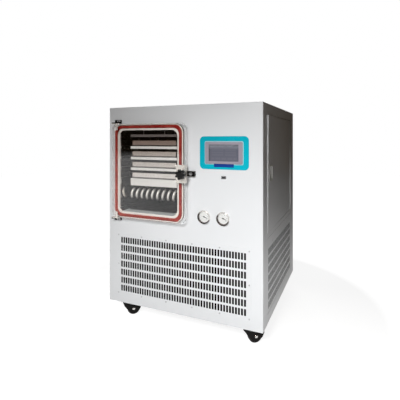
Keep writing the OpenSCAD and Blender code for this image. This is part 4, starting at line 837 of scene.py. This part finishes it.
def rounded_plate(name, lo, hi, r, steps=8):
    """A plate across Y with round corners."""
    bm = bmesh.new()
    rim = []
    for cx, cz, a0 in ((hi[0] - r, hi[2] - r, 0), (lo[0] + r, hi[2] - r, 90),
                       (lo[0] + r, lo[2] + r, 180), (hi[0] - r, lo[2] + r, 270)):
        for k in range(steps + 1):
            a = math.radians(a0 + 90 * k / steps)
            rim.append((cx + r * math.cos(a), cz + r * math.sin(a)))
    front = [bm.verts.new((x, lo[1], z)) for x, z in rim]
    back = [bm.verts.new((x, hi[1], z)) for x, z in rim]
    bm.faces.new(front)
    bm.faces.new(list(reversed(back)))
    for k in range(len(rim)):
        m = (k + 1) % len(rim)
        bm.faces.new((front[k], back[k], back[m], front[m]))
    bmesh.ops.recalc_face_normals(bm, faces=bm.faces)
    return smooth(made(name, bm))


def controls():
    """The touch panel on its printed overlay, and the data port."""
    dressed("overlay", "film", 0.0003, 1)
    dressed("touch_panel", "bezel", 0.0012, 3)
    painted("display_glass", "screen")
    dressed("data_port", "port", 0.0005, 2)
    a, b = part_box("touch_panel")
    lo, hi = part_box("overlay")
    keep(rounded_plate("panel_outline",
                       (a.x - OUTLINE_OUT, lo.y - 2 * PRINT_PROUD, a.z - OUTLINE_OUT),
                       (b.x + OUTLINE_OUT, lo.y + 2 * PRINT_PROUD, b.z + OUTLINE_OUT),
                       OUTLINE_ROUND),
         "outline", NODE_BODY["overlay"], "turquoise_film")
    mid = (lo.x + hi.x) / 2
    keep(rounded_plate("key_strip",
                       (mid - STRIP_LEFT, lo.y - 3 * PRINT_PROUD, lo.z + STRIP_LOW),
                       (mid + STRIP_RIGHT, lo.y + 2 * PRINT_PROUD, lo.z + STRIP_TOP),
                       STRIP_ROUND),
         "strip", NODE_BODY["overlay"], "turquoise_film")


def words(name, text, size, place, finish, body, slot):
    """Flat lettering that faces the front."""
    curve = bpy.data.curves.new(name, "FONT")
    curve.body, curve.size, curve.resolution_u = text, size, 3
    curve.align_x, curve.align_y = "CENTER", "CENTER"
    obj = bpy.data.objects.new(name, curve)
    bpy.context.scene.collection.objects.link(obj)
    deps = bpy.context.evaluated_depsgraph_get()
    mesh = bpy.data.meshes.new_from_object(obj.evaluated_get(deps), depsgraph=deps)
    bpy.data.objects.remove(obj)
    mesh.transform(Matrix.Translation(place) @ Matrix.Rotation(math.pi / 2, 4, "X"))
    flat = bpy.data.objects.new(name, mesh)
    bpy.context.scene.collection.objects.link(flat)
    return keep(flat, finish, body, slot)


def gauges():
    """The two refrigeration gauges, with their scale marks and numbers."""
    dressed("gauge_cases", "ring", 0.0012, 3)
    painted("gauge_dials", "dial")
    painted("gauge_glasses", "lens")
    ticks = tick_rule()
    lo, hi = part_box("gauge_dials")
    face, z = lo.y - PRINT_PROUD, (lo.z + hi.z) / 2
    for label, side, top in (("suction", -0.5, 10), ("discharge", 0.5, 30)):
        dressed(label + "_needle", "ink", 0.0002, 1)
        x = (lo.x + hi.x) / 2 + side * GAUGE_PITCH
        for part, count, radius, length, width in DIAL_MARKS:
            obj = ticks.run(f"{label}_{part}_marks", one_point(), {
                "Count": count, "Radius": radius, "Length": length, "Width": width})
            obj.data.transform(Matrix.Translation((x, face, z)))
            keep(obj, "ink", NODE_BODY["gauge_dials"], "dial_white")
        for k in range(DIAL_NUMBERS):
            a = math.radians(DIAL_START + DIAL_SWEEP * k / (DIAL_NUMBERS - 1))
            words(f"{label}_number_{k}", str(top * k // (DIAL_NUMBERS - 1)), NUMBER_SIZE,
                  (x + NUMBER_RADIUS * math.sin(a), face, z + NUMBER_RADIUS * math.cos(a)),
                  "ink", NODE_BODY["gauge_dials"], "dial_white")


# ---- Machinery and services ----

def machinery():
    """What the slots and the open side door show of the inside."""
    dressed("compressor", "black", 0.003, 3)
    painted("radiator", "fins")
    dressed("fan_shroud", "dark", 0.001, 2)
    dressed("fan_rotor", "fins", 0.0005, 1)
    dressed("oil_heater", "enamel", 0.003, 3)


def services():
    """The pipe, valve, gland and switch on the rear panel."""
    dressed("vacuum_line", "flange", 0.0006, 2)
    dressed("drain_valve", "brass", 0.001, 2)
    dressed("drain_lever", "vinyl", 0.0012, 3)
    dressed("cable_gland", "plastic", 0.001, 2)
    dressed("switch_body", "plastic", 0.001, 2)
    dressed("switch_rocker", "plastic", 0.0008, 2)


# ---- Casters ----

HUB_RADIUS, HUB_REACH = 0.0255, 0.0295


def casters():
    """Four swivel casters; the middle of each wheel is its plastic hub."""
    dressed("caster_plates", "black", 0.0006, 2)
    for corner in ("fl", "fr", "bl", "br"):
        dressed("fork_" + corner, "black", 0.0008, 2)
        dressed("axle_" + corner, "nickel", 0.0005, 2)
        wheel = dressed("wheel_" + corner, "tyre", 0.0012, 3)
        lo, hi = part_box("wheel_" + corner)
        mid = (lo + hi) / 2
        by_face(wheel, "plastic", lambda c, n: (
            abs(c.z - mid.z) < HUB_RADIUS and (c - mid).length < HUB_REACH))


# ---- Stage ----

CAMERA_PLACE = (0.8466, -2.0838, 1.0132)
CAMERA_TURN = 23.68
CAMERA_LENS = 31.8
CAMERA_DROP = -0.153
FLOOR_RADIUS, FLOOR_STEPS, FLOOR_Z = 9, 64, -0.0004


def lamp(name, kind, place, target, power, size, **more):
    """A lamp at place, aimed at target."""
    data = bpy.data.lights.new(name, kind)
    data.energy = power
    if kind == "AREA":
        data.shape = "RECTANGLE"
        data.size, data.size_y = size
    else:
        data.shadow_soft_size = size
    for key, value in more.items():
        setattr(data, key, value)
    obj = bpy.data.objects.new(name, data)
    obj.location = place
    obj.rotation_euler = (Vector(target) - Vector(place)).to_track_quat("-Z", "Y").to_euler()
    bpy.context.scene.collection.objects.link(obj)
    return obj


def stage():
    """The camera, the lamps, the floor and the room."""
    scene = bpy.context.scene
    scene.view_settings.view_transform = "Standard"
    camera = bpy.data.cameras.new("camera")
    camera.lens, camera.sensor_width, camera.shift_y = CAMERA_LENS, 36.0, CAMERA_DROP
    view = bpy.data.objects.new("camera", camera)
    view.location = CAMERA_PLACE
    view.rotation_euler = (math.radians(90), 0, math.radians(CAMERA_TURN))
    scene.collection.objects.link(view)
    scene.camera = view

    lamp("key", "SPOT", (0.42, -3.1, 2.0), (0.65, -0.43, -1.1), 412, 0.35,
         spot_size=math.radians(92), spot_blend=1.0)
    lamp("back", "AREA", (-0.5, 3.4, 2.2), (-0.2, 0.44, 0.5), 45, (1.6, 1.6))
    lamp("low", "AREA", (0.95, -0.78, 0.2), (0.448, -0.35, 0.35), 1.0, (0.3, 0.2))
    lamp("left", "AREA", (-3.4, 0.2, 1.6), (-0.44, 0.1, 0.5), 40, (1.6, 1.6))

    bm = bmesh.new()
    turns = [2 * math.pi * k / FLOOR_STEPS for k in range(FLOOR_STEPS)]
    bm.faces.new([bm.verts.new((FLOOR_RADIUS * math.cos(a), FLOOR_RADIUS * math.sin(a), FLOOR_Z))
                  for a in turns])
    ground = made("floor", bm)
    ground.data.materials.append(floor_finish())
    sky()


def shown(tree):
    """Two masks: what the camera sees directly, and what a mirror or glass shows."""
    path = tree.node("ShaderNodeLightPath", (), (), "Is Camera Ray").socket.node
    camera, glossy, through = (Sock(tree, path.outputs["Is " + k + " Ray"])
                               for k in ("Camera", "Glossy", "Transmission"))
    return camera, glossy.most(through)


def floor_finish():
    """Pale floor with the object's shadow; a mirror sees it white only close by and in front."""
    f = Finish("floor_paint")
    camera, mirror = shown(f)
    x, y, z = f.axes(f.place)
    away = (x * x + y * y) ** 0.5
    near = f.ramp(away / 8.0, (0.06, 0.85), (0.13, 0.68), (0.24, 0.34), (0.44, 0.13), (1.0, 0.04))
    front = ((0 - y) * 4.0).most(0.0).least(1.0)
    grey = f.ramp(y * 0.4 + 0.6, (0.1, 0.5), (0.5, 0.25), (0.8, 0.04))
    matt = f.shader(Base_Color=grey, Roughness=0.9)
    far = ((away - 1.0) * 1.5).most(0.0).least(0.12)
    lit = f.node("ShaderNodeEmission", (), {"Color": WHITE, "Strength": camera * (far + 0.88)})
    seen = f.node("ShaderNodeEmission", (), {"Color": WHITE, "Strength": near.most(front)})
    return f.done(f.node("ShaderNodeMixShader", (), {
        0: mirror, 1: f.node("ShaderNodeAddShader", (), {0: matt, 1: lit}), 2: seen}))


def sky():
    """A white backdrop behind the object, and a dim, warm room in front of it."""
    world = bpy.data.worlds.new("room")
    world.use_nodes = True
    t = Tree(world.node_tree)
    t.nt.nodes.clear()
    camera, mirror = shown(t)
    x, y, z = t.axes(t.node("ShaderNodeTexCoord", (), (), "Generated"))
    backdrop = ((y * 0.82 - x * 0.57 - 0.9) * 14.0).most(0.0).least(1.0)
    ground = (((0 - z) - 0.035) * 50.0).most(0.0).least(1.0) * ((0 - y) * 4.0).most(0.0).least(1.0)
    white = t.node("ShaderNodeBackground", (), {
        "Color": WHITE, "Strength": camera + (1 - camera) * mirror * backdrop.most(ground)})
    warm = t.node("ShaderNodeBackground", (), {
        "Color": WARM, "Strength": (1 - camera) * 0.03})
    t.node("ShaderNodeOutputWorld", (), {
        "Surface": t.node("ShaderNodeAddShader", (), {0: white, 1: warm})})
    bpy.context.scene.world = world


cabinet()
screws()
chamber()
door()
controls()
gauges()
machinery()
services()
casters()
stage()
